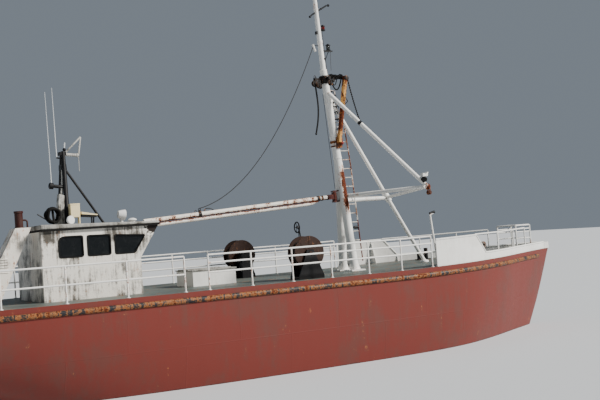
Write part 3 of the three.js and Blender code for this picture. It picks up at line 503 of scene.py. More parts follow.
# Bow bulwark: white plating on the deck edge, high abreast of the mast's forward leg and low
# towards the stem, with a pipe cap on its edge and brackets inside.
BULWARK_START_X = 3.75
BULWARK_STEP_X = 5.6
BULWARK_HIGH_Z = 3.46
BULWARK_LOW = 0.24
BULWARK_INSET = 0.042
BULWARK_HALF = 0.012
white_paint = painted("white_paint", (0.83, 0.82, 0.78), "white_paint", rust=0.14, dirt=0.14, size=1.5)


def bulwark_top(x):
    """Its upper edge: high, then a short slope down to a low height above the deck."""
    high = BULWARK_HIGH_Z + (x - BULWARK_START_X) * 0.02
    fall = np.clip((x - BULWARK_STEP_X) / 0.5, 0, 1)
    return high + (deck_z(x) + BULWARK_LOW - high) * fall


def deck_edge(x, inset):
    """Points of the starboard deck edge in plan, moved inwards square to it."""
    slope = (row_value(2, x + 0.01) - row_value(2, x - 0.01)) / 0.02
    length = np.hypot(1, slope)
    return x + inset * slope / length, -(row_value(2, x) - inset / length)


edge_x = np.concatenate([np.linspace(BULWARK_START_X, BULWARK_STEP_X, 14),
                         np.linspace(BULWARK_STEP_X, 6.1, 6)[1:], np.linspace(6.1, 10.9, 30)[1:]])
outer = deck_edge(edge_x, BULWARK_INSET - BULWARK_HALF)
inner = deck_edge(edge_x, BULWARK_INSET + BULWARK_HALF)
foot_z, top_z = deck_z(outer[0]) + SEAT, bulwark_top(outer[0])
section = np.stack([np.stack([*side, z], 1) for side, z in
                    ((outer, foot_z), (outer, top_z), (inner, top_z), (inner, foot_z))], 1)
plating = (section.reshape(-1, 3), turned_over(closed_faces(len(edge_x), 4)))
cap = tube(np.stack([*(np.add(outer, inner) / 2), top_z], 1), 0.032, 10)
bow_plate = slab([(10.86, deck_z(10.9)), (11.13, deck_z(11.13) + 0.002), (11.13, bulwark_top(11.13)),
                  (10.86, bulwark_top(10.9))], -0.17, 0.17)
brackets = []
for bracket_x in np.arange(4.2, 10.2, 0.95):
    px, py = deck_edge(bracket_x, BULWARK_INSET + BULWARK_HALF)
    foot, top = deck_z(bracket_x), bulwark_top(bracket_x + 0.02) - 0.05
    brackets.append(slab([(py, foot), (py + (top - foot) * 0.35, foot), (py + 0.02, top), (py, top)],
                         px - 0.005, px + 0.005, across="x"))
bulwark = [plating, cap, *brackets]
made("bow_bulwark_plating", bulwark + mirrored(bulwark) + [bow_plate], white_paint, stands_for="bow_bulwark", sharp=30)


# Rails: galvanised and painted pipe on posts with round foot plates, welded at each crossing.
# The pulpit is a small square of the same pipe behind the stem, open aft below its top bar.
RAIL_R = 0.024
RAIL_INSET = 0.11
SIDE_BARS = [0.48, 0.74, 0.96]
QUARTER_BARS = [0.48, 0.96]
rail_white = painted("rail_white", (0.84, 0.83, 0.79), "white_paint", rust=0.06, dirt=0.1, size=2.2, bump=0.3)


def rail_feet(xs):
    """Feet of posts a little inside the starboard deck edge."""
    xs = np.array(xs, float)
    return np.stack([xs, -(row_value(2, xs) - RAIL_INSET), deck_z(xs + RAIL_R) + SEAT], 1)


def railing(feet, heights):
    """Bars along the posts' line at each height, a post at each foot, its plate and its welds."""
    feet = np.asarray(feet, float)
    shapes = [tube(rounded(feet + (0, 0, h), 0.12), RAIL_R, 12) for h in heights]
    for foot in feet:
        shapes.append(tube(foot + np.outer((0, 0.5, 1), (0, 0, heights[-1])), RAIL_R, 12))
        shapes.append(turned([(0, 0.055), (0.012, 0.055), (0.016, RAIL_R * 1.2), (0.03, RAIL_R)], foot, UP, 14))
        for h in heights[:-1]:
            shapes.append(turned([(-0.02, RAIL_R), (-0.008, RAIL_R * 1.16), (0.008, RAIL_R * 1.16),
                                  (0.02, RAIL_R)], foot + (0, 0, h), UP, 12))
    return shapes


def near(points, places, reach):
    """1 at each of the places, falling off with the square of the distance over the reach."""
    gaps = np.linalg.norm(points[:, None, :] - np.asarray(places, float)[None, :, :], axis=2)
    return np.exp(-(gaps / reach) ** 2).max(axis=1)


def rail_rust(feet, heights):
    """Rust starts at the foot plates and at the welds of the bars."""
    places = np.concatenate([feet + (0, 0, h) for h in [0, *heights]])
    return lambda points: 0.4 * near(points * (1, -1, 1) if points[0, 1] > 0 else points, places, 0.06)


rails = [(name, railing(rail_feet(xs), bars), rail_rust(rail_feet(xs), bars)) for name, xs, bars in (
    ("side_rail", [-4, -2.7, -1.4, -0.1, 1.2, 2.4, 3.6], SIDE_BARS),
    ("quarter_rail", [-4.7, -6.3, -7.9, -9.5, -11.05], QUARTER_BARS))]
for side, turn_over in (("starboard", list), ("port", mirrored)):
    for name, shapes, rust in rails:
        made(f"{name}_{side}_pipes", turn_over(shapes), rail_white, stands_for=f"{name}_{side}", rust=rust)
stern_feet = np.array([(-11.05, y, DECK_Z + SEAT) for y in (-2.4, -0.8, 0.8, 2.4)])
made("stern_rail_pipes", railing(stern_feet, QUARTER_BARS), rail_white, stands_for="stern_rail",
     rust=lambda p: 0.4 * near(p, stern_feet, 0.1))

PULPIT_R = 0.028
PULPIT_TOP = 3.67
pulpit_plan = np.array([(9.28, -0.5, 0), (9.95, -0.5, 0), (9.95, 0.5, 0), (9.28, 0.5, 0)])
top_bar = [*pulpit_plan, pulpit_plan[0]] + np.array((0, 0, PULPIT_TOP))
pulpit_shapes = [tube(rounded(pulpit_plan + (0, 0, z), 0.07), PULPIT_R * 0.8, 12) for z in (3.2, 3.43, 3.54)]
pulpit_shapes.append(tube(rounded(top_bar, 0.07), PULPIT_R, 12))
pulpit_feet = pulpit_plan + UP * deck_z(pulpit_plan[:, :1] + PULPIT_R) + (0, 0, SEAT)
for foot in pulpit_feet:
    pulpit_shapes += [tube([foot, foot * (1, 1, 0) + (0, 0, PULPIT_TOP)], PULPIT_R, 12),
                      turned([(0, 0.06), (0.012, 0.06), (0.016, PULPIT_R)], foot, UP, 14)]
made("pulpit_pipes", pulpit_shapes, rail_white, stands_for="pulpit", rust=lambda p: 0.4 * near(p, pulpit_feet, 0.12))

px, py = deck_edge(np.array([5.65, 6.95, 8.2, 9.25]), BULWARK_INSET)
bow_rail_feet = np.stack([px, py, bulwark_top(px) + 0.02], 1)
bow_rail_top = np.stack([px, py, 3.5 + (px - 5.65) * 0.02], 1)
bow_rail = [tube([(5.56, py[0] - 0.004, 3.52), *bow_rail_top[1:]], RAIL_R, 12)]
bow_rail += [tube(ends, RAIL_R, 12) for ends in zip(bow_rail_feet[1:], bow_rail_top[1:])]
made("bow_rail_starboard_pipes", bow_rail, rail_white, stands_for="bow_rail_starboard",
     rust=lambda p: 0.3 * near(p, bow_rail_feet, 0.1))
made("bow_rail_port_pipes", mirrored(bow_rail), rail_white, stands_for="bow_rail_port")


# Mast: two raking legs meet in one thick tube, which carries a thinner pole. Doubling rings
# stand where it is joined, and rust runs from the rings and from the gooseneck's lugs.
MAST_X = 2.35
MAST_JOIN = (2.24, 6.14)
POLE_FOOT = (1.915, 9.25)
MAST_TOP = (1.755, 12.1)
LEG_SPREAD = 0.36
mast_white = painted("mast_white", (0.87, 0.86, 0.82), "white_paint", rust=0.1, dirt=0.08, size=1.6, bump=0.1)


def mast_at(z):
    """The middle line of the lower tube, which rakes aft, and of the pole, which rakes less."""
    (x0, z0), (x1, z1) = (MAST_JOIN, POLE_FOOT) if z < POLE_FOOT[1] else (POLE_FOOT, MAST_TOP)
    return np.array((x0 + (x1 - x0) * (z - z0) / (z1 - z0), 0, z))


def mast_axis(z=9.0):
    """The direction of the mast's middle line at a height."""
    return unit(mast_at(z + 0.01) - mast_at(z))


def straight(start, end, count=12):
    """Points in equal steps from one point to another."""
    return np.linspace(np.asarray(start, float), np.asarray(end, float), count)


def oblong(x0, x1, z0, z1):
    """The outline of an upright box from its pairs of edges."""
    return [(x0, z0), (x1, z0), (x1, z1), (x0, z1)]


def band(z, radius, half=0.05):
    """A ring round the mast with its edges eased."""
    return turned([(-half, radius - 0.015), (-half, radius), (-half + 0.01, radius + 0.008),
                   (half - 0.01, radius + 0.008), (half, radius), (half, radius - 0.015)],
                  mast_at(z), mast_axis(z), 28)


mast_shapes = [tube(straight((MAST_X, foot_y, DECK_Z + 0.03), (MAST_JOIN[0], 0, 6.2), 40), 0.14, 28)
               for foot_y in (-LEG_SPREAD, LEG_SPREAD)]
mast_shapes += [
    tube(straight(mast_at(6.02), mast_at(9.25), 40), np.linspace(0.138, 0.12, 40), 28),
    tube(straight(mast_at(9.2), mast_at(12.085), 36), np.linspace(0.092, 0.062, 36), 24),
    turned([(-0.02, 0.066), (0.0, 0.068), (0.012, 0.06), (0.016, 0.02)], mast_at(12.08), mast_axis(12.0), 20),
    band(6.36, 0.14, 0.03), band(7.05, 0.135, 0.06), band(8.2, 0.128, 0.04), band(9.27, 0.112, 0.05),
    band(10.25, 0.084, 0.05), band(11.35, 0.072, 0.02),
]
for side in (-1, 1):
    mast_shapes.append(slab(oblong(MAST_X - 0.26, MAST_X + 0.26, side * 0.13, side * 0.62),
                            DECK_Z + SEAT, DECK_Z + 0.04, across="z"))
    for fin_x in (-0.2, 0.2):
        toe = side * LEG_SPREAD
        mast_shapes.append(slab([(MAST_X + fin_x * 0.5, DECK_Z + 0.04), (MAST_X + fin_x * 1.15, DECK_Z + 0.04),
                                 (MAST_X + fin_x * 0.6, DECK_Z + 0.34)], toe - 0.008, toe + 0.008))
mast_sores = [(2.28, -0.2, 5.75), (2.3, -0.22, 5.5), (2.3, -0.24, 5.25), (2.3, -0.24, 4.95), (2.2, -0.1, 6.9),
              (1.95, -0.1, 9.2), (1.86, 0, 10.2), (2.35, -0.36, 2.7), (2.35, 0.36, 2.7), (1.8, 0, 11.4)]
# Where water runs down below the join on the starboard leg
streak = np.array([(2.32, -0.2 - 0.015 * k, 5.95 - 0.16 * k) for k in range(8)])
DRAWN_OUT = (1, 1, 0.3)
made("mast_tubes", mast_shapes, mast_white, stands_for="mast",
     rust=lambda p: 0.42 * near(p, mast_sores, 0.2) + 0.62 * near(p * DRAWN_OUT, streak * DRAWN_OUT, 0.13))


# Ladder: round rungs welded between the mast's forward side and one long rail of pipe, its
# lower end red with primer, held by a black clamp.
LADDER_FOOT, LADDER_TOP = 2.9, 7.35
LEG_HEIGHT = MAST_JOIN[1] - DECK_Z


def sleeve(half, inner, outer, middle=0.0):
    """The profile of a short pipe."""
    return [(middle - half, inner), (middle - half, outer), (middle + half, outer), (middle + half, inner)]


def leg_at(z):
    """The starboard leg's middle line below the join, the mast's own above it."""
    if z > MAST_JOIN[1]:
        return mast_at(z)
    fall = (MAST_JOIN[1] - z) / LEG_HEIGHT
    return np.array((MAST_JOIN[0] + (MAST_X - MAST_JOIN[0]) * fall, -LEG_SPREAD * fall, z))


def rail_at(z):
    """The ladder's rail, nearer the leg at its foot."""
    return leg_at(z) + (0.47 - 0.1 * max(0, (MAST_JOIN[1] - z) / (MAST_JOIN[1] - LADDER_FOOT)), 0, 0)


rail_line = np.array([rail_at(z) for z in (LADDER_FOOT, MAST_JOIN[1], LADDER_TOP)])
rail_upper = rail_line[0] + (rail_line[1] - rail_line[0]) * 0.42
rungs = [tube([leg_at(z) + (0.09, 0, 0), rail_at(z)], 0.014, 10) for z in np.arange(3.0, LADDER_TOP, 0.3)]
ladder_white = painted("ladder_white", (0.7, 0.68, 0.62), "white_paint", rust=0.3, dirt=1.3, size=3.6, bump=0.2)
ladder_red = painted("ladder_red", (0.11, 0.016, 0.01), "white_paint", rust=0.2, dirt=0.2, size=2)
black_paint = painted("black_paint", (0.005, 0.005, 0.006), "black_paint", rust=0.08, dirt=0.1, size=1.6)
made("ladder_upper", [tube([rail_upper, *rail_line[1:]], 0.02, 12), *rungs], ladder_white, stands_for="mast_ladder",
     rust=lambda p: 0.1 + 0.3 * near(p, rail_line, 0.3))
made("ladder_lower_rail", [tube([rail_line[0], rail_upper], 0.021, 12)], ladder_red)
made("ladder_clamp", [turned(sleeve(0.08, 0.02, 0.05), rail_at(4.02) - (0.1, 0, 0), FORWARD, 12)], black_paint)


# Forward leg and outriggers: pipe struts from the mast to a collar over the foredeck and out to
# each side, with a lamp and a block at the starboard tip.
COLLAR = np.array((4.08, 0, 4.99))
LEG_TOP = np.array((2.12, 0, 8.3))
LEG_FOOT = np.array((5.46, 0, deck_z(5.61) + SEAT))
TIP = np.array((3.905, -2.57, 5.15))
STRUT_TOP = np.array((1.99, -0.09, 8.53))
leg_along = unit(COLLAR - LEG_TOP)


def ball(centre, radius, sides=14):
    """A sphere, as a half circle turned about its upright axis."""
    return turned(np.stack([radius * np.sin(half_turn), np.maximum(radius * np.cos(half_turn), 1e-4)], 1),
                  centre, UP, sides)


def around(count):
    """Equal turns about a circle, each as its cosine and sine."""
    angles = np.linspace(0, 2 * math.pi, count, endpoint=False)
    return list(zip(np.cos(angles), np.sin(angles)))


forward_shapes = [
    tube(rounded([LEG_TOP, COLLAR, LEG_FOOT + (0, 0, 0.04)], 0.2), 0.064, 48),
    turned([(-0.16, 0.07), (-0.15, 0.1), (-0.12, 0.105), (0.2, 0.105), (0.23, 0.1), (0.24, 0.07)],
           COLLAR - leg_along * 0.06, leg_along),
    tube([(2.38, 0, 4.94), (COLLAR[0], 0, 4.95)], 0.068, 20),
    turned([(0, 0.15), (0.04, 0.15), (0.06, 0.14), (0.062, 0.08), (0.09, 0.066)], LEG_FOOT, UP),
]
for cosine, sine in around(6):
    forward_shapes.append(turned([(0, 0.014), (0.02, 0.014), (0.026, 0.01)],
                                 LEG_FOOT + (0.12 * cosine, 0.12 * sine, 0.05), UP, 6))
leg_sores = [COLLAR, LEG_TOP, LEG_FOOT, (2.45, 0, 4.94)]
made("forward_leg_tubes", forward_shapes, mast_white, stands_for="mast_forward_leg",
     rust=lambda p: 0.35 * near(p, leg_sores, 0.14))


def about(point, steps):
    """An upright outline of (forward, up) steps from a point."""
    return np.asarray(steps, float) + (point[0], point[2])


for side, side_name in ((-1, "starboard"), (1, "port")):
    tip, strut_top = TIP * (1, -side, 1), STRUT_TOP * (1, -side, 1)
    eye = slab(about(tip, [(-0.16, 0.02), (-0.02, 0.09), (0.09, 0.02), (0.1, -0.07), (0.02, -0.11), (-0.14, -0.06)]),
               tip[1] - 0.012, tip[1] + 0.012)
    struts = [tube(straight(strut_top, tip, 24), 0.066, 48),
              tube(straight((2.33, side * 0.12, 5.082), tip, 24), 0.06, 48),
              tube(straight((4.058, side * 0.07, 4.965), tip, 16), 0.05, 48), ball(tip, 0.1, 24), eye]
    welds = [strut_top, (2.4, side * 0.2, 5.1), (4.06, side * 0.1, 4.97), (2.6, side * 0.5, 5.09),
             (2.9, side * 0.85, 5.1), (3.15, side * 1.3, 5.12)]
    made(f"outrigger_{side_name}_tubes", struts, mast_white, stands_for=f"outrigger_{side_name}",
         rust=lambda p: 0.4 * near(p, welds, 0.16) + 1.5 * near(p, [tip + (0.05, side * 0.06, -0.03)], 0.13))


def shackle(centre, size):
    """A bow of round bar."""
    a = np.linspace(-0.2 * math.pi, 1.2 * math.pi, 15)
    x, y, z = centre
    return tube(np.stack([x + size * 0.6 * np.cos(a), np.full(15, y), z + size * 0.75 * np.sin(a)], 1), size * 0.17, 8)


def trawl_block(hang, size, tilt=0.0):
    """A pulley block: two cheeks either side of a grooved sheave, with a pin, straps and eye."""
    c = np.array(hang, float) - (size * 0.5 * math.sin(tilt), 0, size * 0.95)
    cheek = [(0, size * 0.1), (0.004, size * 0.42), (0.012, size * 0.44), (0.018, size * 0.42), (0.02, size * 0.1)]
    sheave = [(-0.03, size * 0.36), (-0.02, size * 0.4), (-0.006, size * 0.33), (0.006, size * 0.33),
              (0.02, size * 0.4), (0.03, size * 0.36)]
    strap = [(c[0] - size * 0.12, c[2] - size * 0.1), (c[0] + size * 0.12, c[2] - size * 0.1),
             (hang[0] + size * 0.1, hang[2] - size * 0.1), (hang[0] - size * 0.1, hang[2] - size * 0.1)]
    return [turned(cheek, c + (0, 0.032, 0), ACROSS, 22), turned(cheek, c - (0, 0.052, 0), ACROSS, 22),
            turned(sheave, c, ACROSS), slab(strap, c[1] + 0.052, c[1] + 0.064),
            slab(strap, c[1] - 0.064, c[1] - 0.052), turned([(-0.075, 0.03), (0.075, 0.03)], c, ACROSS, 12),
            shackle(hang, size * 0.22)]


rusty_steel = painted("rusty_steel", (0.05, 0.011, 0.006), "rusty_steel", rust=0.5, dirt=0.2, size=2.6, bump=0.9)
floodlight_white = painted("floodlight_white", (0.78, 0.78, 0.76), "white_paint", rust=0.05, dirt=0.2, size=3)
lamp_head = TIP + (-0.1, 0, 0.27)
made("tip_floodlight", [
    turned([(0, 0.05), (0.02, 0.08), (0.09, 0.1), (0.12, 0.09)], lamp_head, (-0.5, -0.55, -0.35), 20),
    tube(rounded([lamp_head + (0.0, 0.03, -0.02), lamp_head + (0.0, 0.06, -0.16), TIP + (0, 0, 0.06)], 0.05),
         0.022, 10),
], black_paint)
hood = about(lamp_head + (0.02, 0.0, 0.04), [(-0.13, 0), (0.07, 0.02), (0.1, 0.16), (0, 0.09), (-0.12, 0.13)])
made("tip_floodlight_hood", [slab(hood, TIP[1] - 0.08, TIP[1] + 0.06)], floodlight_white, bevel=0.01)
made("tip_block", trawl_block(TIP + (0.04, -0.01, -0.03), 0.17), rusty_steel)


# Lamp post: a white pipe that leans aft from the foot plate welded to the deck's edge, with a
# small black lamp on its arm.
POST_FOOT = np.array((3.93, -2.78, deck_z(4.0) + SEAT))
POST_TOP = np.array((3.76, -2.78, 4.29))
made("lamp_post_pipe", [
    tube(rounded([POST_FOOT, POST_TOP - (0, 0, 0.03), POST_TOP + (0.16, 0, 0.02)], 0.05), 0.03, 14),
    turned([(0, 0.07), (0.02, 0.07), (0.03, 0.034)], POST_FOOT, UP, 16),
], rail_white, stands_for="lamp_post", rust=lambda p: 0.3 * near(p, [POST_FOOT, POST_TOP], 0.15))
made("lamp_post_lamp", [turned([(0, 0.02), (0.01, 0.035), (0.2, 0.046), (0.215, 0.03)],
                               POST_TOP - (0.02, 0, 0), (1, 0, 0.2), 14)], black_paint)


# Masthead: a band with a bent arm of plate forward and a short one aft, both black with grease,
# trawl blocks and rope hung from them, and an orange-rusted brace that comes down past the
# forward leg to a bolted clamp on the mast.
HEAD_Z = 8.98
BRACE_Y = -0.15
CLAMP_Z = 6.9
dark_steel = painted("dark_steel", (0.008, 0.005, 0.004), "rusty_steel", rust=0.3, dirt=0.1, size=3.2, bump=0.9)
brace_orange = painted("brace_orange", (0.66, 0.36, 0.10), "rusty_steel", rust=0.56, dirt=0.05, size=3.0, bump=0.8)
knob_red = painted("knob_red", (0.24, 0.018, 0.01), "rusty_steel", rust=0.2, dirt=0.2, size=4)
grease_black = painted("grease_black", (0.006, 0.005, 0.005), "black_paint", rust=0.1, dirt=0.1, size=3)
rubber_black, tree, surface = new_material("rubber_black")
grain = noise(tree, object_point(tree), 90, 5)
feed(tree, surface, {"Base Color": ramp(tree, grain, [(0.3, (0.004, 0.004, 0.004)), (0.7, (0.014, 0.013, 0.012))]),
                     "Normal": raised(tree, grain, 0.3, 0.001), "Roughness": 0.8, "Specular IOR Level": 0.15})

head = mast_at(HEAD_Z)
arm_end = head + (0.717, BRACE_Y, 0.04)
brace_path = straight(arm_end + (0.0, 0, 0.06), (2.2, -0.217, 6.87), 60)
made("masthead_brace", [tube(brace_path, np.linspace(0.088, 0.076, 60), 18)], brace_orange, stands_for="masthead",
     rust=lambda p: 0.5 * near(p, [arm_end, *brace_path[32:46]], 0.14))
bent_arm = [(0.06, -0.04), (0.23, 0.06), (0.69, 0.07), (0.75, 0.0), (0.78, 0.09), (0.67, 0.16), (0.45, 0.14),
            (0.22, 0.15), (0.06, 0.06)]
made("masthead_band", [
    turned([(-0.13, 0.13), (-0.13, 0.172), (-0.1, 0.185), (0.1, 0.185), (0.13, 0.172), (0.13, 0.13)],
           head, mast_axis(), 28),
    slab(about(head, bent_arm), -0.036, 0.038),
    slab(about(head, oblong(0.66, 0.76, 0.03, 0.09)), BRACE_Y, 0.02),
    slab(about(head, [(-0.42, -0.02), (-0.1, -0.028), (-0.1, 0.056), (-0.42, 0.045)]), -0.03, 0.03),
    slab(about(head, oblong(-0.045, 0.045, -0.03, 0.06)), -0.34, 0.34),
    turned([(-0.1, 0.06), (-0.08, 0.09), (0.08, 0.09), (0.1, 0.06)], arm_end, ACROSS, 18),
], dark_steel, bevel=0.004)
made("masthead_blocks", [shape for step, size, tilt in (
    ((-0.37, 0, 0.1), 0.24, 0.15), ((-0.28, -0.1, -0.02), 0.2, 0.1), ((0.02, -0.32, -0.02), 0.16, 0),
    ((0.02, 0.32, -0.02), 0.16, 0), ((0.3, -0.02, 0.09), 0.13, 0)) for shape in trawl_block(head + step, size, tilt)],
     dark_steel)


def hanging(start, end, sag, count=40):
    """A wire between two points, let down by a parabola of the given depth."""
    t = np.linspace(0, 1, count)[:, None]
    return np.asarray(start) * (1 - t) + np.asarray(end) * t - np.array(UP) * 4 * sag * t * (1 - t)


# Rope wound round the bent arm, and a bight of it hung below
wind = np.linspace(0, 9 * 2 * math.pi, 260)
along_arm = np.linspace(0, 1, 260)
loose = 0.068 + 0.012 * np.sin(17 * along_arm)
winding = head + np.stack([0.2 + 0.5 * along_arm, 0.062 * np.cos(wind),
                           0.108 + 0.012 * np.sin(9 * along_arm) + loose * np.sin(wind)], 1)
made("masthead_rope", [
    tube(winding, 0.017, 7),
    tube(hanging(head + (0.2, -0.06, 0.0), head + (0.6, -0.08, 0.05), 0.36), 0.022, 8),
    tube(hanging(head + (0.24, -0.05, 0.0), head + (0.44, -0.06, 0.05), 0.2), 0.016, 8),
    tube(rounded([brace_path[18] - (0, 0.07, 0), brace_path[22] + (0.16, -0.05, -0.02),
                  brace_path[26] + (0.02, -0.07, 0)], 0.03), 0.012, 8),
], rubber_black, slot="black_paint")
clamp = mast_at(CLAMP_Z)
clamp_shapes = [
    turned(sleeve(0.02, 0.13, 0.163, -0.05), mast_at(CLAMP_Z - 0.09), mast_axis(), 26),
    turned(sleeve(0.04, 0.13, 0.163), clamp, mast_axis(), 26),
    slab(about(clamp, [(-0.03, -0.24), (0.17, -0.2), (0.2, 0.1), (0.08, 0.2), (-0.04, 0.14)]), -0.19, -0.12)]
clamp_shapes += [turned([(0, 0.02), (0.03, 0.02), (0.035, 0.012)], mast_at(CLAMP_Z + bolt_z) + (0.12, -0.2, 0),
                        (0, -1, 0), 6) for bolt_z in (-0.06, 0.0, 0.07)]
made("mast_clamp", clamp_shapes, rusty_steel, bevel=0.004)
made("clamp_knob", [ball(mast_at(6.84) + (0.12, -0.24, 0), 0.06)], knob_red)

# Steps and small clutter on the mast's forward side, between the head and the clamp
shackles = []
for z, reach in ((8.55, 0.16), (8.42, 0.24), (8.2, 0.2), (8.05, 0.27), (7.86, 0.2), (7.62, 0.25), (7.3, 0.22)):
    shackles += [shackle(mast_at(z) + (reach, -0.08, 0), 0.075),
                 tube([mast_at(z) + (0.1, -0.07, 0.02), mast_at(z) + (reach, -0.08, 0.04)], 0.02, 8)]
made("mast_shackles", shackles, grease_black)
steps = []
for z, reach in ((8.62, 0.2), (8.3, 0.26), (7.98, 0.22), (7.7, 0.26), (7.4, 0.24), (7.2, 0.2)):
    root = mast_at(z) + (0.1, -0.03, 0)
    steps.append(tube(rounded([root, root + (reach, 0, 0), root + (reach, 0, -0.14), root + (0.02, 0, -0.16)], 0.04),
                      0.013, 8))
made("mast_steps", steps, mast_white, rust=0.5)


# Mast pole: radio arm, port and starboard lamps, insulator for the aerial wire, and a lantern
# on a shelf at the pole's forward side.
porcelain = painted("porcelain", (0.78, 0.77, 0.73), "white_paint", rust=0.0, dirt=0.25, size=4, bump=0.1)
lamp_red_glass, tree, surface = new_material("lamp_red_glass")
feed(tree, surface, {"Base Color": ramp(tree, noise(tree, object_point(tree), 60, 3),
                                        [(0.3, (0.07, 0.004, 0.003)), (0.7, (0.15, 0.009, 0.006))]),
                     "Roughness": 0.12})
lens_clear, tree, surface = new_material("lens_clear")
ribs = place(tree, "ShaderNodeTexWave", {"Vector": object_point(tree), "Scale": 16.0}, bands_direction="Z")
feed(tree, surface, {"Normal": raised(tree, ribs.outputs["Fac"], 0.4, 0.004), "Base Color": (0.06, 0.065, 0.06, 1),
                     "Roughness": 0.08, "Transmission Weight": 0.6})

LAMP = (2.02, 0, 10.72)
shelf = mast_at(9.95)
LANTERN = (shelf[0] + 0.29, 0, 9.962)
made("pole_fittings", [
    tube(rounded([(1.55, 0, 11.06), (1.61, 0, 11.14), (1.78, 0, 11.24), (2.23, 0, 11.5), (2.31, 0, 11.5)], 0.04),
         0.026, 10),
    ball((2.29, 0, 11.5), 0.045, 12), ball((1.55, 0, 11.08), 0.04, 12), ball((2.0, 0, 11.37), 0.035, 12),
    turned([(-0.1, 0.055), (-0.09, 0.075), (-0.05, 0.075), (-0.045, 0.05)], LAMP, UP, 16),
    turned([(0.045, 0.05), (0.05, 0.075), (0.09, 0.06), (0.11, 0.02)], LAMP, UP, 16),
    tube([(1.85, 0, 10.66), (2.02, 0, 10.65)], 0.02, 8), tube([(1.8, 0, 10.12), (1.62, 0, 10.13)], 0.012, 8),
    slab(oblong(1.73, 1.81, 10.5, 10.6), -0.05, 0.05),
    tube([(1.93, 0, 9.72), (1.93, 0, 9.78), (1.96, 0, 9.78)], 0.02, 8), ball((1.96, -0.07, 9.68), 0.035, 10),
    slab(oblong(shelf[0] + 0.05, shelf[0] + 0.42, 9.93, 9.962), -0.07, 0.07),
    turned([(0, 0.082), (0.03, 0.085), (0.035, 0.065)], LANTERN, UP, 18),
    turned([(0.165, 0.065), (0.17, 0.085), (0.2, 0.08), (0.225, 0.03), (0.24, 0.01)], LANTERN, UP, 18),
    tube([(shelf[0] + 0.3, 0.02, 9.93), (mast_at(9.6)[0] + 0.1, 0, 9.6)], 0.012, 8),
], black_paint, stands_for="mast_lantern", bevel=0.002)
made("pole_lamp_red", [turned([(-0.045, 0.055), (0, 0.062), (0.045, 0.055)], LAMP, UP, 18)],
     lamp_red_glass, slot="black_paint")
made("pole_lantern_lens", [turned([(0.035, 0.06), (0.1, 0.066), (0.165, 0.06)], LANTERN, UP, 20)],
     lens_clear, slot="black_paint")
sheds = [(0.045 * k + step, r) for k in range(6) for step, r in ((0, 0.026), (0.012, 0.052), (0.03, 0.03))]
made("aerial_insulator", [turned(sheds, (1.58, 0, 10.16), (0.35, 0, -1), 18)], porcelain)


# Gooseneck and boom: the swivel's sleeve turns on a pin between two lugs on the mast, and the
# boom's heel hinges in its cheeks. The boom is a pipe with a thinner one welded below it.
SLEW = np.array((1.99, 0, 5.09))
TOPPING_EYE = np.array((1.6, 0, 10.1))
BOOM_END_X = -4.69
BOOM_R = 0.072
BOOM_FALL = math.tan(math.radians(3.9))
BOOM_ALONG = (1, 0, BOOM_FALL)
slew_lean = math.atan2(TOPPING_EYE[0] - SLEW[0], TOPPING_EYE[2] - SLEW[2])
HEEL = SLEW + (-0.19 * math.cos(slew_lean), 0, 0.19 * math.sin(slew_lean))
boom_white = painted("boom_white", (0.86, 0.82, 0.74), "white_paint", rust=0.34, dirt=0.1, size=4.2)
gooseneck_rust = painted("gooseneck_rust", (0.06, 0.009, 0.006), "rusty_steel", rust=0.24, dirt=0.1, size=3.4, bump=0.9)


def coat(material, *nodes):
    """CAD nodes that are shown as they are get their paint."""
    for node in nodes:
        cad[node].data.materials.clear()
        cad[node].data.materials.append(material)


coat(gooseneck_rust, "gooseneck_bracket", "gooseneck_swivel")


def boom_at(x, below=0.0):
    """The upper pipe's middle line, or a line below it."""
    return np.array((x, 0, HEEL[2] - (HEEL[0] - x) * BOOM_FALL - below))


lower_path = rounded([boom_at(1.4, 0.03), boom_at(1.1, 0.14), boom_at(-4.25, 0.14), boom_at(-4.4, 0.11)], 0.2)
boom_shapes = [
    tube(straight(boom_at(HEEL[0] - 0.12), boom_at(BOOM_END_X + 0.01), 90), BOOM_R, 26),
    tube(np.concatenate([lower_path[:5], straight(lower_path[5], lower_path[6], 70), lower_path[7:]]), 0.054, 20),
    turned([(0, 0.05), (0.006, 0.07), (0.03, 0.076), (0.05, 0.072)], boom_at(BOOM_END_X), BOOM_ALONG),
    slab(about(HEEL, [(-0.26, -0.055), (0.02, -0.058), (0.056, 0), (0.02, 0.058), (-0.26, 0.045)]), -0.034, 0.034),
    turned(sleeve(0.0447, 0.03, 0.055), HEEL, ACROSS, 20),
]
for web_x in (0.9, 0.3, -0.7, -1.5, -2.3, -3.2, -4.0):
    low, high = boom_at(web_x, 0.13)[2], boom_at(web_x, 0.03)[2]
    boom_shapes.append(slab([(web_x - 0.07, low), (web_x + 0.07, low), (web_x + 0.05, high), (web_x - 0.05, high)],
                            -0.01, 0.01))
boom_sores = [boom_at(x, below) for x, below in (
    (-3.05, 0.0), (-3.15, 0.03), (-1.25, 0.06), (-1.0, 0.08), (0.45, -0.04), (0.7, -0.05), (0.9, -0.05),
    (1.1, -0.04), (0.15, -0.03), (-0.5, -0.05), (-4.2, 0.0), (-3.8, -0.04))]


def boom_rust_and_seam_shade(points):
    """Rust at the sores, and a dark band along the seam between the two pipes that is partly rust where water lies and
    partly painted shade of the gap between them.
    """
    below = HEEL[2] - (HEEL[0] - points[:, 0]) * BOOM_FALL - points[:, 2]
    # The seam's band stands for rust and also for the shade in the gap between the pipes
    return 0.34 * near(points, boom_sores, 0.14) + 1.1 * np.exp(-((below - 0.076) / 0.026) ** 2)


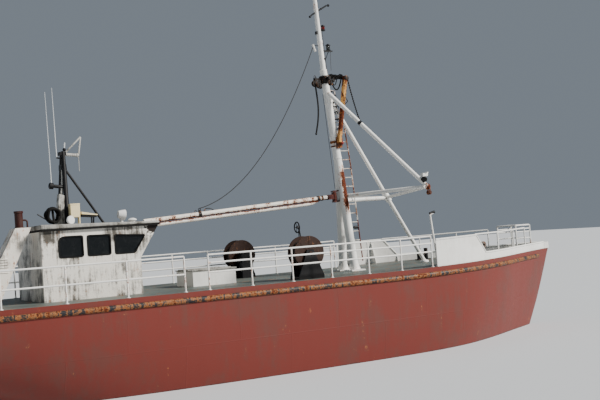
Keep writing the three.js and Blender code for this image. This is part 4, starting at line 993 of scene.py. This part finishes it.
made("boom_pipes", boom_shapes, boom_white, body="boom", stands_for="boom", rust=boom_rust_and_seam_shade)
topping_lug = boom_at(-2.87, -0.11)
boom_bands = [turned(sleeve(half, 0.06, radius), boom_at(x), BOOM_ALONG)
              for x, half, radius in ((1.36, 0.05, 0.086), (-2.87, 0.05, 0.086), (1.5, 0.03, 0.084))]
boom_bands += [slab(about(topping_lug, [(-0.05, -0.06), (0.05, -0.06), (0.03, 0.03), (-0.03, 0.03)]), -0.012, 0.012),
               shackle(topping_lug + (0, 0, 0.03), 0.06), shackle(boom_at(-3.0, -0.1), 0.05),
               shackle(boom_at(BOOM_END_X + 0.12, 0.1), 0.05),
               tube(rounded([boom_at(-2.72, -0.08), boom_at(-2.66, -0.16), boom_at(-2.5, -0.14),
                             boom_at(-2.4, -0.08)], 0.05), 0.014, 8)]
made("boom_bands", boom_bands, black_paint, body="boom", bevel=0.003, rust=0.25)


# Wires: galvanised wire rope from the masthead. The topping wire hangs in a shallow curve from
# the aerial's insulator to the boom; the others are led tight.
wire_steel, tree, surface = new_material("wire_steel")
lay = place(tree, "ShaderNodeTexWave", {"Vector": object_point(tree), "Scale": 22.0, "Distortion": 0.4},
            bands_direction="DIAGONAL").outputs["Fac"]
feed(tree, surface, {"Base Color": ramp(tree, lay, [(0.2, (0.012, 0.011, 0.01)), (0.8, (0.06, 0.05, 0.042))]),
                     "Roughness": 0.62, "Metallic": 0.5})

topping_end = topping_lug + (0, 0, 0.07)
topping = made("topping_wire", [tube(hanging(TOPPING_EYE, topping_end, 1.05, 80), 0.012, 8)], wire_steel,
               body=None, sharp=180)
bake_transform(topping)

made("mast_wires", [
    tube(hanging(mast_at(8.5) + (-0.16, 0, 0), SLEW + (0.05, 0, 0.24), 0.05), 0.008, 8),
    tube([mast_at(9.9) + (0.36, 0, 0.02), mast_at(9.2) + (0.3, 0, 0.1)], 0.007, 6),
    tube(hanging(mast_at(10.6) + (0.14, 0, 0), mast_at(9.2) + (0.14, 0, 0), 0.0), 0.007, 6),
], wire_steel, slot="black_paint")
strut_line = TIP - STRUT_TOP
chain_foot = STRUT_TOP + strut_line * 0.33
links = 0.021 + 0.009 * np.sin(np.linspace(0, 42 * math.pi, 90))
made("mast_ropes", [
    tube(rounded([(1.577, 0.02, 8.8), (1.6, 0.02, 8.6), (1.64, 0.02, 8.1), (1.6, 0.02, 7.66), (1.485, 0.02, 7.2)],
                 0.2, 7), 0.027, 10),
    ball((1.48, 0.02, 7.18), 0.036, 10),
    tube(hanging(arm_end + (0.06, -0.02, 0.02), chain_foot + (0, 0, 0.06), 0.08, 90), links, 8),
], grease_black)
made("chain_band", [turned(sleeve(0.05, 0.06, 0.078), chain_foot, strut_line, 20)], black_paint)


# Trawl winches: an iron drum between two stands each side, full of wire, with a gear box on the
# inner side and, to starboard, a brake handwheel on two raked stems.
WINCH = np.array((-0.54, -2.3, 3.37))
CORE_R = 0.36
FLANGE_R = 0.5
drum_rust = painted("drum_rust", (0.03, 0.013, 0.008), "rusty_steel", rust=0.22, dirt=0.1, size=3.4, bump=0.9)
coils = [(step + side, CORE_R + out) for step in np.linspace(-0.175, 0.175, 13)
         for side, out in ((-0.0146, 0.012), (-0.007, 0.026), (0.007, 0.026), (0.0146, 0.012))]
flange = [(0, 0.06), (0, FLANGE_R - 0.01), (0.008, FLANGE_R), (0.022, FLANGE_R), (0.03, FLANGE_R - 0.01), (0.03, 0.06)]
drum_shapes = [turned(flange, WINCH + (0, flange_y, 0), ACROSS, 48) for flange_y in (-0.22, 0.19)]
drum_shapes += [turned([(-0.3, 0.049), (0.3, 0.049)], WINCH, ACROSS, 20),
                turned(sleeve(0.2347, 0.05, 0.084), WINCH, ACROSS, 20)]
for cosine, sine in around(8):
    drum_shapes.append(tube([WINCH + (reach * cosine, -0.222, reach * sine) for reach in (0.1, 0.48)], 0.006, 6))
warp_shapes = [turned(coils, WINCH, ACROSS, 56)]
for side_name, iron, warp in (("starboard", drum_shapes, warp_shapes),
                              ("port", mirrored(drum_shapes), mirrored(warp_shapes))):
    drum = f"winch_drum_{side_name}"
    made(f"{drum}_iron", iron, drum_rust, body=drum, stands_for=drum)
    made(f"{drum}_warp", warp, wire_steel, body=drum, slot="rusty_steel")
    coat(black_paint, f"winch_frame_{side_name}")

wheel = WINCH + (-0.096, 0.26, 0.77)
rim_turn = np.linspace(0, 2 * math.pi, 33)
rim = wheel + 0.155 * np.stack([0 * rim_turn, np.cos(rim_turn), np.sin(rim_turn)], 1)
wheel_shapes = [tube(rim, 0.02, 10),
                turned([(-0.02, 0.02), (-0.02, 0.035), (0.06, 0.03), (0.08, 0.02)], wheel, FORWARD, 14),
                slab(oblong(WINCH[0] - 0.09, WINCH[0] + 0.09, wheel[1] - 0.024, wheel[1] + 0.024),
                     WINCH[2] + 0.0903, WINCH[2] + 0.11, across="z")]
wheel_shapes += [tube([wheel + (head_x, 0, 0), (WINCH[0] + foot_x, wheel[1], WINCH[2] + 0.1)], radius, 10)
                 for head_x, foot_x, radius in ((0.06, 0.06, 0.018), (0.055, -0.06, 0.014))]
wheel_shapes += [tube([wheel, wheel + (0, 0.145 * cosine, 0.145 * sine)], 0.009, 8) for cosine, sine in around(5)]
made("winch_brake_starboard_wheel", wheel_shapes, black_paint, stands_for="winch_brake_starboard")


# Hatch: a white steel coaming welded to the deck, and a grey steel lid with stiffening bars,
# hinged on the coaming's after edge.
HATCH_X = (-3.5, -2.1)
HATCH_TOP = 3.05
roof_grey = painted("roof_grey", (0.36, 0.35, 0.32), "roof_paint", rust=0.12, dirt=1.1, size=2.0, bump=0.7)
coat(white_paint, "hatch_coaming")
lid_shapes = [slab(oblong(HATCH_X[0] - 0.03, HATCH_X[1] + 0.03, -0.68, 0.68),
                   HATCH_TOP + SEAT, HATCH_TOP + 0.035, across="z"),
              turned(sleeve(0.4, 0.01, 0.022), (HATCH_X[0] - 0.03, 0, HATCH_TOP + 0.04), ACROSS, 16)]
lid_shapes += [slab(oblong(HATCH_X[0] + 0.05, HATCH_X[1] - 0.05, bar_y - 0.02, bar_y + 0.02),
                    HATCH_TOP + 0.03, HATCH_TOP + 0.058, across="z") for bar_y in (-0.42, 0, 0.42)]
made("hatch_lid_plate", lid_shapes, roof_grey, body="hatch_lid", stands_for="hatch_lid", bevel=0.006)


# Windlass and bitts: a steel drum with warping heads turns between two cheeks on the foredeck.
# The bitts are pairs of black steel posts on a plate welded to the deck, with a cross bar.
WINDLASS = np.array((7.7, 0, 3.08))
coat(black_paint, "windlass_frame")
worn_steel = painted("worn_steel", (0.22, 0.21, 0.2), "bare_steel", rust=0.45, dirt=0.4, size=2.2, metallic=0.6)
head_curve = [(0.32, 0.095), (0.34, 0.128), (0.37, 0.118), (0.44, 0.095), (0.51, 0.118), (0.54, 0.128), (0.56, 0.11)]
made("windlass_drum_iron", [
    turned([(-0.56, 0.044), (0.56, 0.044)], WINDLASS, ACROSS, 20),
    turned(sleeve(0.2347, 0.04, 0.074), WINDLASS, ACROSS, 20),
    turned([(-0.215, 0.1), (-0.215, 0.2), (-0.19, 0.2), (-0.185, 0.13), (0.185, 0.13), (0.19, 0.2),
            (0.215, 0.2), (0.215, 0.1)], WINDLASS, ACROSS, 32),
    turned(head_curve, WINDLASS, ACROSS, 28), turned(head_curve, WINDLASS, (0, -1, 0), 28),
], worn_steel, body="windlass_drum", stands_for="windlass_drum")
for bitts, x, y in (("bitts_fore_starboard", 6.5, -1.5), ("bitts_fore_port", 6.5, 1.5),
                    ("bitts_aft_starboard", -10.7, -1.9), ("bitts_aft_port", -10.7, 1.9)):
    foot = deck_z(x + 0.28) + SEAT
    bitt_shapes = [slab(oblong(x - 0.28, x + 0.28, y - 0.11, y + 0.11), foot, foot + 0.03, across="z"),
                   turned([(-0.3, 0.02), (-0.29, 0.032), (0.29, 0.032), (0.3, 0.02)], (x, y, foot + 0.26), FORWARD, 16)]
    bitt_shapes += [turned([(0.02, 0.074), (0.39, 0.074), (0.4, 0.084), (0.415, 0.08), (0.42, 0.03)],
                           (x + post_x, y, foot), UP) for post_x in (-0.16, 0.16)]
    made(f"{bitts}_posts", bitt_shapes, black_paint, stands_for=bitts, rust=0.15)


# Wheelhouse: welded steel sides, white under soot and salt, with large windows in black rubber,
# a door to port and a front that leans forward.
CABIN_FRONT, CABIN_BROW = -5.35, -4.79
CABIN_SILL, CABIN_CEILING, CABIN_HALF = 3.62, 4.49, 1.45
WINDOW_LOW, WINDOW_HIGH, WINDOW_CORNER = 3.755, 4.33, 0.07
BURNT = (0.016, 0.01, 0.007)
cabin_white = painted("cabin_white", (0.84, 0.80, 0.72), "white_paint", rust=0.24, dirt=1.15, size=1.9, bump=0.8)
# The paint has peeled black at the brow, where the roof leaks
tree, at, effect, bumps = opened(cabin_white)
split = place(tree, "ShaderNodeSeparateXYZ", {0: at}).outputs
brow = maths(tree, "MULTIPLY", spread(tree, split["X"], -5.4, -4.95), spread(tree, split["Z"], 4.05, 4.45))
peeled = spread(tree, maths(tree, "MULTIPLY_ADD", brow, 0.42, noise(tree, at, 9.0, 7, 0.7)), 0.68, 0.74)
feed(tree, tree.nodes["Principled BSDF"].inputs, {"Base Color": mix(tree, peeled, effect.outputs["Color"], BURNT)})
coat(cabin_white, "cabin_side_starboard", "cabin_side_port", "cabin_front", "cabin_aft", "cabin_door")

window_glass, tree, surface = new_material("window_glass")
salt = noise(tree, object_point(tree), 7, 6, 0.7)
feed(tree, surface, {"Roughness": spread(tree, salt, 0.45, 0.75, 0.03, 0.3), "Base Color": (0.015, 0.017, 0.018, 1),
                     "Transmission Weight": 0.5, "IOR": 1.45})


def pane(x0, x1, z0, z1, corner, shift=0.0, drop=0.0, aft_corner=None):
    """A four-sided outline with rounded corners. Its upper forward corner may be shifted and
    dropped, and its upper aft corner may be rounder."""
    corners = np.array([(x0, z0), (x1, z0), (x1 + shift, z1 - drop), (x0, z1)], float)
    sizes = [corner, corner, corner, aft_corner or corner]
    return np.concatenate([bend(*three, size) for *three, size in
                           zip(np.roll(corners, 1, 0), corners, np.roll(corners, -1, 0), sizes)])


def ring_faces(outline):
    """The faces of four loops of as many points as the outline, joined each to the next."""
    return grid_faces(4, len(outline), wrap_rows=True, wrap_columns=True)


def between(outer, inner, low, high):
    """A flat ring between two outlines of as many points, carried across from low to high."""
    low, high = sorted((low, high))
    stack = [np.stack([o[:, 0], np.full(len(o), y), o[:, 1]], 1)
             for o, y in ((outer, low), (outer, high), (inner, high), (inner, low))]
    return np.concatenate(stack), turned_over(ring_faces(outer))


# Columns: aft end, forward end, top edge, then the upper forward corner's shift and drop, aft corner
window_holes = [(-7.64, -6.97, 4.33, 0.0, 0.005, 0.2), (-6.85, -6.2, 4.32, 0.0, 0.01, 0.07),
                (-6.08, -5.515, 4.296, 0.335, 0.055, 0.07)]
seals, panes_of_glass = [], []
# The port side has its door in place of the aft window
for side, holes in ((-1, window_holes), (1, window_holes[1:])):
    wall = side * CABIN_HALF
    for x0, x1, top, shift, drop, aft_corner in holes:
        outer_line, inner_line, fits = (
            pane(x0 + d, x1 - d, WINDOW_LOW + d, top - d, WINDOW_CORNER, shift, drop, aft_corner)
            for d in (-0.012, 0.02, 0.002))
        seals += [between(outer_line, inner_line, wall, wall + side * 0.014),
                  between(fits, inner_line, wall - side * 0.05, wall)]
        panes_of_glass.append(slab(fits, *sorted((wall - side * 0.022, wall - side * 0.03))))
made("window_seals_sides", seals, rubber_black, bevel=0.003)
made("window_glass_sides", panes_of_glass, window_glass)

lean = unit((CABIN_BROW - CABIN_FRONT, 0, CABIN_CEILING - CABIN_SILL))


def on_front(line, out):
    """An outline of (y, z) points laid on the leaning front, moved outwards square to it."""
    y, z = line.T
    x = CABIN_FRONT + (z - CABIN_SILL) * lean[0] / lean[2]
    return np.stack([x + out * lean[2], y, z - out * lean[0]], -1)


front_seals, front_glass = [], []
for middle in (-0.89, 0, 0.89):
    outer_line, inner_line, fits = (
        pane(middle - half, middle + half, WINDOW_LOW + d, WINDOW_HIGH - 0.03 - d, WINDOW_CORNER)
        for half, d in ((0.392, -0.022), (0.34, 0.03), (0.366, 0.004)))
    loops = ((outer_line, 0.0), (outer_line, 0.014), (inner_line, 0.014), (inner_line, 0.0))
    front_seals.append((np.concatenate([on_front(*loop) for loop in loops]), ring_faces(outer_line)))
    front_glass.append((np.concatenate([on_front(fits, out) for out in (-0.03, -0.022)]), closed_faces(2, len(fits))))
made("window_seals_front", front_seals, rubber_black)
made("window_glass_front", front_glass, window_glass)

door_inner, door_fit = pane(-7.73, -7.41, 3.72, 4.18, 0.06), pane(-7.748, -7.392, 3.702, 4.198, 0.06)
made("door_window_seal", [between(pane(-7.78, -7.36, 3.67, 4.23, 0.07), door_inner, 1.445, 1.456),
                          between(door_fit, door_inner, 1.41, 1.445)], rubber_black, body="cabin_door")
made("door_window_glass", [slab(door_fit, 1.424, 1.43)], window_glass, body="cabin_door")
made("door_handle", [tube(rounded([(-7.34, 1.446, 3.42), (-7.34, 1.5, 3.42), (-7.34, 1.5, 3.6), (-7.34, 1.446, 3.6)],
                                  0.03), 0.011, 10)], black_paint, body="cabin_door")

# Roof: a thin box of plate with rounded edges and, under its rim, a black strip that is painted shade of
# the recess between roof and walls, with a searchlight and a vent bolted to it.
ROOF_AFT, ROOF_FRONT, ROOF_HALF = -8.11, -4.76, 1.54
ROOF_AFT_Z, ROOF_FRONT_Z = 4.675, 4.605
RIM = 0.008


def roof_z(x):
    """The roof's upper face, which falls towards the front."""
    return ROOF_AFT_Z + (ROOF_FRONT_Z - ROOF_AFT_Z) * (x - ROOF_AFT) / (ROOF_FRONT - ROOF_AFT)


def on_roof(x, y, half=0.0, up=SEAT):
    """The foot of something on the roof, clear of the roof at its after edge."""
    return np.array((x, y, roof_z(x - half) + up))


made("roof_box_plate", [slab([(ROOF_AFT, CABIN_CEILING + 0.05), (ROOF_FRONT, CABIN_CEILING + 0.05),
                              (ROOF_FRONT, ROOF_FRONT_Z), (ROOF_AFT, ROOF_AFT_Z)], -ROOF_HALF, ROOF_HALF)],
     roof_grey, stands_for="cabin_roof", bevel=0.03)
# A black strip under the rim: painted shade of the recess between the roof and the walls
made("roof_rim_shade_strip", [slab(oblong(ROOF_AFT + RIM, ROOF_FRONT - RIM, CABIN_CEILING + SEAT, CABIN_CEILING + 0.075),
                             RIM - ROOF_HALF, ROOF_HALF - RIM)], rubber_black, slot="black_paint")

SEARCHLIGHT, BEAM = (-5.6, -0.7, 4.86), (1, 0, -0.12)
made("searchlight_body", [
    turned([(0, 0.045), (0.08, 0.04), (0.09, 0.06), (0.12, 0.06)], on_roof(-5.59, -0.7, 0.04), UP, 18),
    turned([(-0.1, 0.05), (-0.09, 0.1), (0.02, 0.135), (0.11, 0.15), (0.12, 0.13)], SEARCHLIGHT, BEAM, 26),
], floodlight_white, slot="bare_steel", stands_for="searchlight", rust=0.05)
made("searchlight_lens", [turned([(0.105, 0.12), (0.125, 0.1), (0.13, 0.04)], SEARCHLIGHT, BEAM, 22)], lens_clear)
made("roof_vent", [turned([(0, 0.09), (0.05, 0.085), (0.06, 0.13), (0.075, 0.135), (0.1, 0.11), (0.125, 0.06),
                           (0.13, 0.01)], on_roof(-5.28, -0.7, 0.09), UP)], floodlight_white)


# Roof mast: two black legs joined by plates round grey cable trunking, with a strut forward, a
# lamp arm, two whips, and boxes and lamps round its foot.
ROOF_MAST_X = -7.0
BACK_LAMP = (-7.34, -0.2, 5.78)
whip_white = painted("whip_white", (0.62, 0.64, 0.64), "white_paint", rust=0.0, dirt=0.1, size=3, bump=0.1)
trunk_grey = painted("trunk_grey", (0.52, 0.51, 0.47), "roof_paint", rust=0.1, dirt=1.2, size=3.4)
cream_paint = painted("cream_paint", (0.82, 0.70, 0.42), "cream_paint", rust=0.15, dirt=0.15, size=2.5)
roof_mast_shapes = [tube(straight(on_roof(-7.07, side * 0.43, 0.11, 0.02), (ROOF_MAST_X + 0.02, side * 0.06, 6.77), 20),
                         np.linspace(0.075, 0.058, 20), 18) for side in (-1, 1)]
roof_mast_shapes += [
    tube(straight(on_roof(-5.89, 0, 0.09, 0.02), (-6.97, 0, 6.32)), 0.036, 12),
    slab([(-7.08, 6.24), (-6.92, 6.24), (-6.93, 6.4), (-7.07, 6.4)], -0.15, 0.15),
    slab(oblong(-7.09, -6.9, 6.66, 6.76), -0.11, 0.11),
    tube([(-7.01, -0.2, 5.74), BACK_LAMP], 0.05, 12),
    turned([(0, 0.04), (0.02, 0.09), (0.12, 0.09), (0.14, 0.05)], BACK_LAMP, (-1, 0, 0.1), 16),
    tube([(-7.01, -0.06, 6.56), (-7.18, -0.06, 6.6)], 0.024, 10),
]
roof_mast_shapes += [turned([(0, radius), (0.03, radius), (0.04, radius * 0.8)], on_roof(x, y, radius), UP, 20)
                     for x, y, radius in ((-7.07, -0.43, 0.11), (-7.07, 0.43, 0.11), (-5.89, 0, 0.09))]
made("roof_mast_tubes", roof_mast_shapes, black_paint, stands_for="roof_mast", bevel=0.003)
made("whip_aerials", [tube([(-7.4, -0.2, 5.78), (-7.43, -0.2, 8.45)], [0.014, 0.006], 10),
                      tube([(-7.17, -0.06, 6.59), (-7.19, -0.06, 8.6)], [0.016, 0.006], 10)], whip_white)
made("cable_trunk", [
    slab([(-7.36, roof_z(-7.36) + 0.001), (-7.12, roof_z(-7.12) + 0.001), (-7.1, 5.5), (-7.24, 5.55)], -0.36, -0.12),
    tube(rounded([(-7.16, -0.24, 5.5), (-7.08, -0.16, 5.9), (-7.04, -0.1, 6.4)], 0.2), 0.03, 10),
], trunk_grey, bevel=0.012)
made("lamp_arm", [tube([(ROOF_MAST_X, 0, 6.7), (-6.515, 0, 6.655)], 0.045),
                  turned([(0, 0.045), (0.02, 0.06), (0.05, 0.06), (0.07, 0.03)], (-6.59, 0, 6.662), (1, 0, -0.1), 16),
                  tube(rounded([(-6.9, 0, 6.74), (-6.43, 0, 7.19), (-6.52, 0, 6.66)], 0.03), 0.024, 10),
                  tube([(-6.52, 0, 6.62), (-6.52, 0, 6.2)], 0.008, 6)], trunk_grey)
made("aerial_knob", [ball((-6.92, 0, 6.83), 0.05), tube([(-6.94, 0, 6.74), (-6.92, 0, 6.82)], 0.02, 8)], black_paint)
made("aerial_spike", [tube([(-6.92, 0, 6.86), (-6.9, 0, 7.03)], 0.02, 8)], whip_white)
box_foot = roof_z(-6.91) + 0.004
made("roof_box_case", [slab(oblong(-7.045, -6.775, 4.854, 5.21), -0.695, -0.475),
                       slab(oblong(-7.05, -6.77, 5.195, 5.24), -0.7, -0.47),
                       *[slab(oblong(x - 0.02, x + 0.02, box_foot, 4.86), -0.69, -0.56) for x in (-7.02, -6.8)]],
     cream_paint, stands_for="roof_box", bevel=0.012)
made("roof_lamp_round", [
    turned([(0, 0.06), (0.03, 0.06), (0.05, 0.03), (0.1, 0.03)], on_roof(-7.275, -1.42, 0.025, 0.001), UP, 16),
    turned([(-0.1, 0.03), (-0.08, 0.08), (-0.02, 0.115), (0.03, 0.12), (0.05, 0.1)], (-7.275, -1.44, 4.76),
           (0.3, -0.93, 0.05)),
], floodlight_white, slot="bare_steel")
coil_turn = np.linspace(0, 12 * math.pi, 200)
coil = np.stack([-7.48 + (0.17 + 0.03 * np.sin(1.7 * coil_turn)) * np.cos(coil_turn),
                 -0.56 + 0.02 * coil_turn / math.pi,
                 4.95 + (0.19 + 0.02 * np.cos(2.3 * coil_turn)) * np.sin(coil_turn)], 1)
made("hose_coil", [tube(coil, 0.034, 8), tube([(-7.48, -0.55, 4.68), (-7.48, -0.42, 5.13)], 0.035, 8)],
     rubber_black, slot="black_paint")
made("roof_panel", [slab([(-6.74, 4.93), (-6.29, 4.88), (-6.29, 4.91), (-6.74, 5.0)], -0.72, -0.35)],
     cream_paint, slot="roof_paint", bevel=0.004)
made("roof_panel_frame", [slab([(-6.73, 4.87), (-6.31, 4.83), (-6.31, 4.881), (-6.73, 4.931)], -0.7, -0.37),
                          tube([(-6.45, -0.66, 4.636), (-6.45, -0.66, 4.87)], 0.022, 8),
                          tube([(-6.33, -0.42, 4.635), (-6.34, -0.5, 4.86)], 0.022, 8)], black_paint)
made("roof_rod", [tube([(-7.92, -0.5, 5.0), (-7.52, -0.45, 4.74)], 0.018, 8)], black_paint)


# Engine casing and exhaust: a raked steel box behind the wheelhouse, with louvred vents in its
# sides, and a rusted exhaust pipe with a drain elbow out of its top.
EXHAUST = np.array((-8.5, -0.8, 4.64))
casing_white = painted("casing_white", (0.84, 0.79, 0.70), "white_paint", rust=0.34, dirt=0.8, size=2.2, bump=0.6)
exhaust_rust = painted("exhaust_rust", (0.036, 0.005, 0.003), "rusty_steel", rust=0.2, dirt=0.3, size=2, bump=0.8)
coat(casing_white, "engine_casing")
louvres = [slab([(wall, z), (wall + out, z - 0.03), (wall + out, z - 0.022), (wall, z + 0.01)], -9.2, -8.9, across="x")
           for wall, out in ((-1.05, -0.018), (-0.4, 0.018)) for z in 3.5 + 0.07 * np.arange(6)]
made("casing_vents", louvres, casing_white)
made("exhaust_stack", [
    turned([(0.0003, 0.13), (0.02, 0.13), (0.022, 0.108), (0.4, 0.108), (0.405, 0.122), (0.46, 0.122), (0.46, 0.1),
            (0.3, 0.098)], EXHAUST, UP, 28),
    tube(rounded(EXHAUST + [(0.09, 0, 0.21), (0.22, 0, 0.21), (0.22, 0, SEAT)], 0.07), 0.024, 12),
], exhaust_rust, stands_for="exhaust_pipe")


# Inside: a wooden helm console under the front windows, its grain in long bands across the
# boat, and a black seat on its post.
console_wood, tree, surface = new_material("console_wood")
long_grain = place(tree, "ShaderNodeMapping", {"Vector": object_point(tree), "Scale": (6, 1, 6)}).outputs[0]
grain = noise(tree, long_grain, 5, 8, 0.7, 0.6)
feed(tree, surface, {"Base Color": ramp(tree, grain, [(0.35, (0.05, 0.025, 0.014)), (0.65, (0.14, 0.075, 0.04))]),
                     "Roughness": spread(tree, grain, 0.3, 0.7, 0.75, 0.5), "Normal": raised(tree, grain, 0.4, 0.003)})
coat(console_wood, "helm_console")
coat(painted("seat_black", (0.02, 0.02, 0.022), "seat_vinyl", rust=0.0, dirt=0.2, size=4, bump=0.3), "helm_seat")


# Propeller and rudder: a cast bronze screw of four blades on the shaft, and a rudder plate with
# a rounded nose on its stock.
SHAFT_Z = -1.55
PROPELLER_X = -8.68
BLADE_SECTIONS = 16
RUDDER_X = -9.6
bronze, tree, surface = new_material("bronze")
tarnish = noise(tree, object_point(tree), 6, 7, 0.65)
feed(tree, surface, {"Base Color": ramp(tree, tarnish, [(0.35, (0.10, 0.13, 0.09)), (0.5, (0.25, 0.16, 0.06)),
                                                        (0.7, (0.5, 0.33, 0.13))]),
                     "Roughness": spread(tree, tarnish, 0.35, 0.7, 0.7, 0.3), "Metallic": 0.9})


def blade(turn):
    """Sections of a lens shape along the radius, each leant to the screw's pitch there."""
    t = np.linspace(0, 1, BLADE_SECTIONS)[:, None]
    r = 0.12 + 0.66 * t
    chord = 0.3 + 0.26 * np.sin(math.pi * np.minimum(t * 0.62 + 0.1, 1)) - 0.42 * t**5
    round_step = np.linspace(0, 2 * math.pi, 20, endpoint=False)[None, :]
    along, thick = 0.5 * np.cos(round_step) * chord, 0.5 * np.sin(round_step) * (0.046 - 0.036 * t)
    pitch_turn = np.arctan(1.15 / (2 * math.pi * r))
    x = along * np.sin(pitch_turn) + thick * np.cos(pitch_turn)
    arc = (along * np.cos(pitch_turn) - thick * np.sin(pitch_turn)) / r * 0.9 + turn
    points = np.stack([PROPELLER_X + x, r * np.sin(arc), SHAFT_Z + r * np.cos(arc)], -1)
    return points.reshape(-1, 3), turned_over(closed_faces(*x.shape))


made("propeller_cast", [
    *[blade(k * math.pi / 2) for k in range(4)],
    turned([(0, 0.06), (0.0, 0.1), (0.03, 0.1), (0.031, 0.15), (0.25, 0.15), (0.46, 0.13), (0.56, 0.08), (0.62, 0.02)],
           (-8.4303, 0, SHAFT_Z), (-1, 0, 0), 30),
    turned([(0, 0.058), (0.35, 0.058)], (-8.11, 0, SHAFT_Z), (-1, 0, 0), 16),
], bronze, body="propeller", slot="bronze", stands_for="propeller")

foil = [(-0.34, 0.0), (-0.33, 0.025), (-0.3, 0.05), (-0.2, 0.075), (-0.1, 0.085), (0.05, 0.082), (0.2, 0.07),
        (0.5, 0.038), (0.75, 0.012)]
foil = [(RUDDER_X - a, b) for a, b in foil] + [(RUDDER_X - a, -b) for a, b in foil[:0:-1]]
stiffener = [(RUDDER_X + 0.2, -0.09), (RUDDER_X - 0.6, -0.03), (RUDDER_X - 0.6, 0.03), (RUDDER_X + 0.2, 0.09)]
made("rudder_plate", [
    slab(foil, -2.405, -0.64, across="z"),
    turned([(0, 0.06), (1.08, 0.06)], (RUDDER_X, 0, -0.84), UP, 18),
    turned([(-0.06, 0.04), (0.0003, 0.045), (0.0003, 0.08), (0.06, 0.08)], (RUDDER_X, 0, -2.44), UP, 18),
    *[slab(stiffener, z - 0.012, z + 0.012, across="z") for z in (-2.1, -1.7, -1.3, -0.9)],
], hull_red, body="rudder", stands_for="rudder")

low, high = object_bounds()
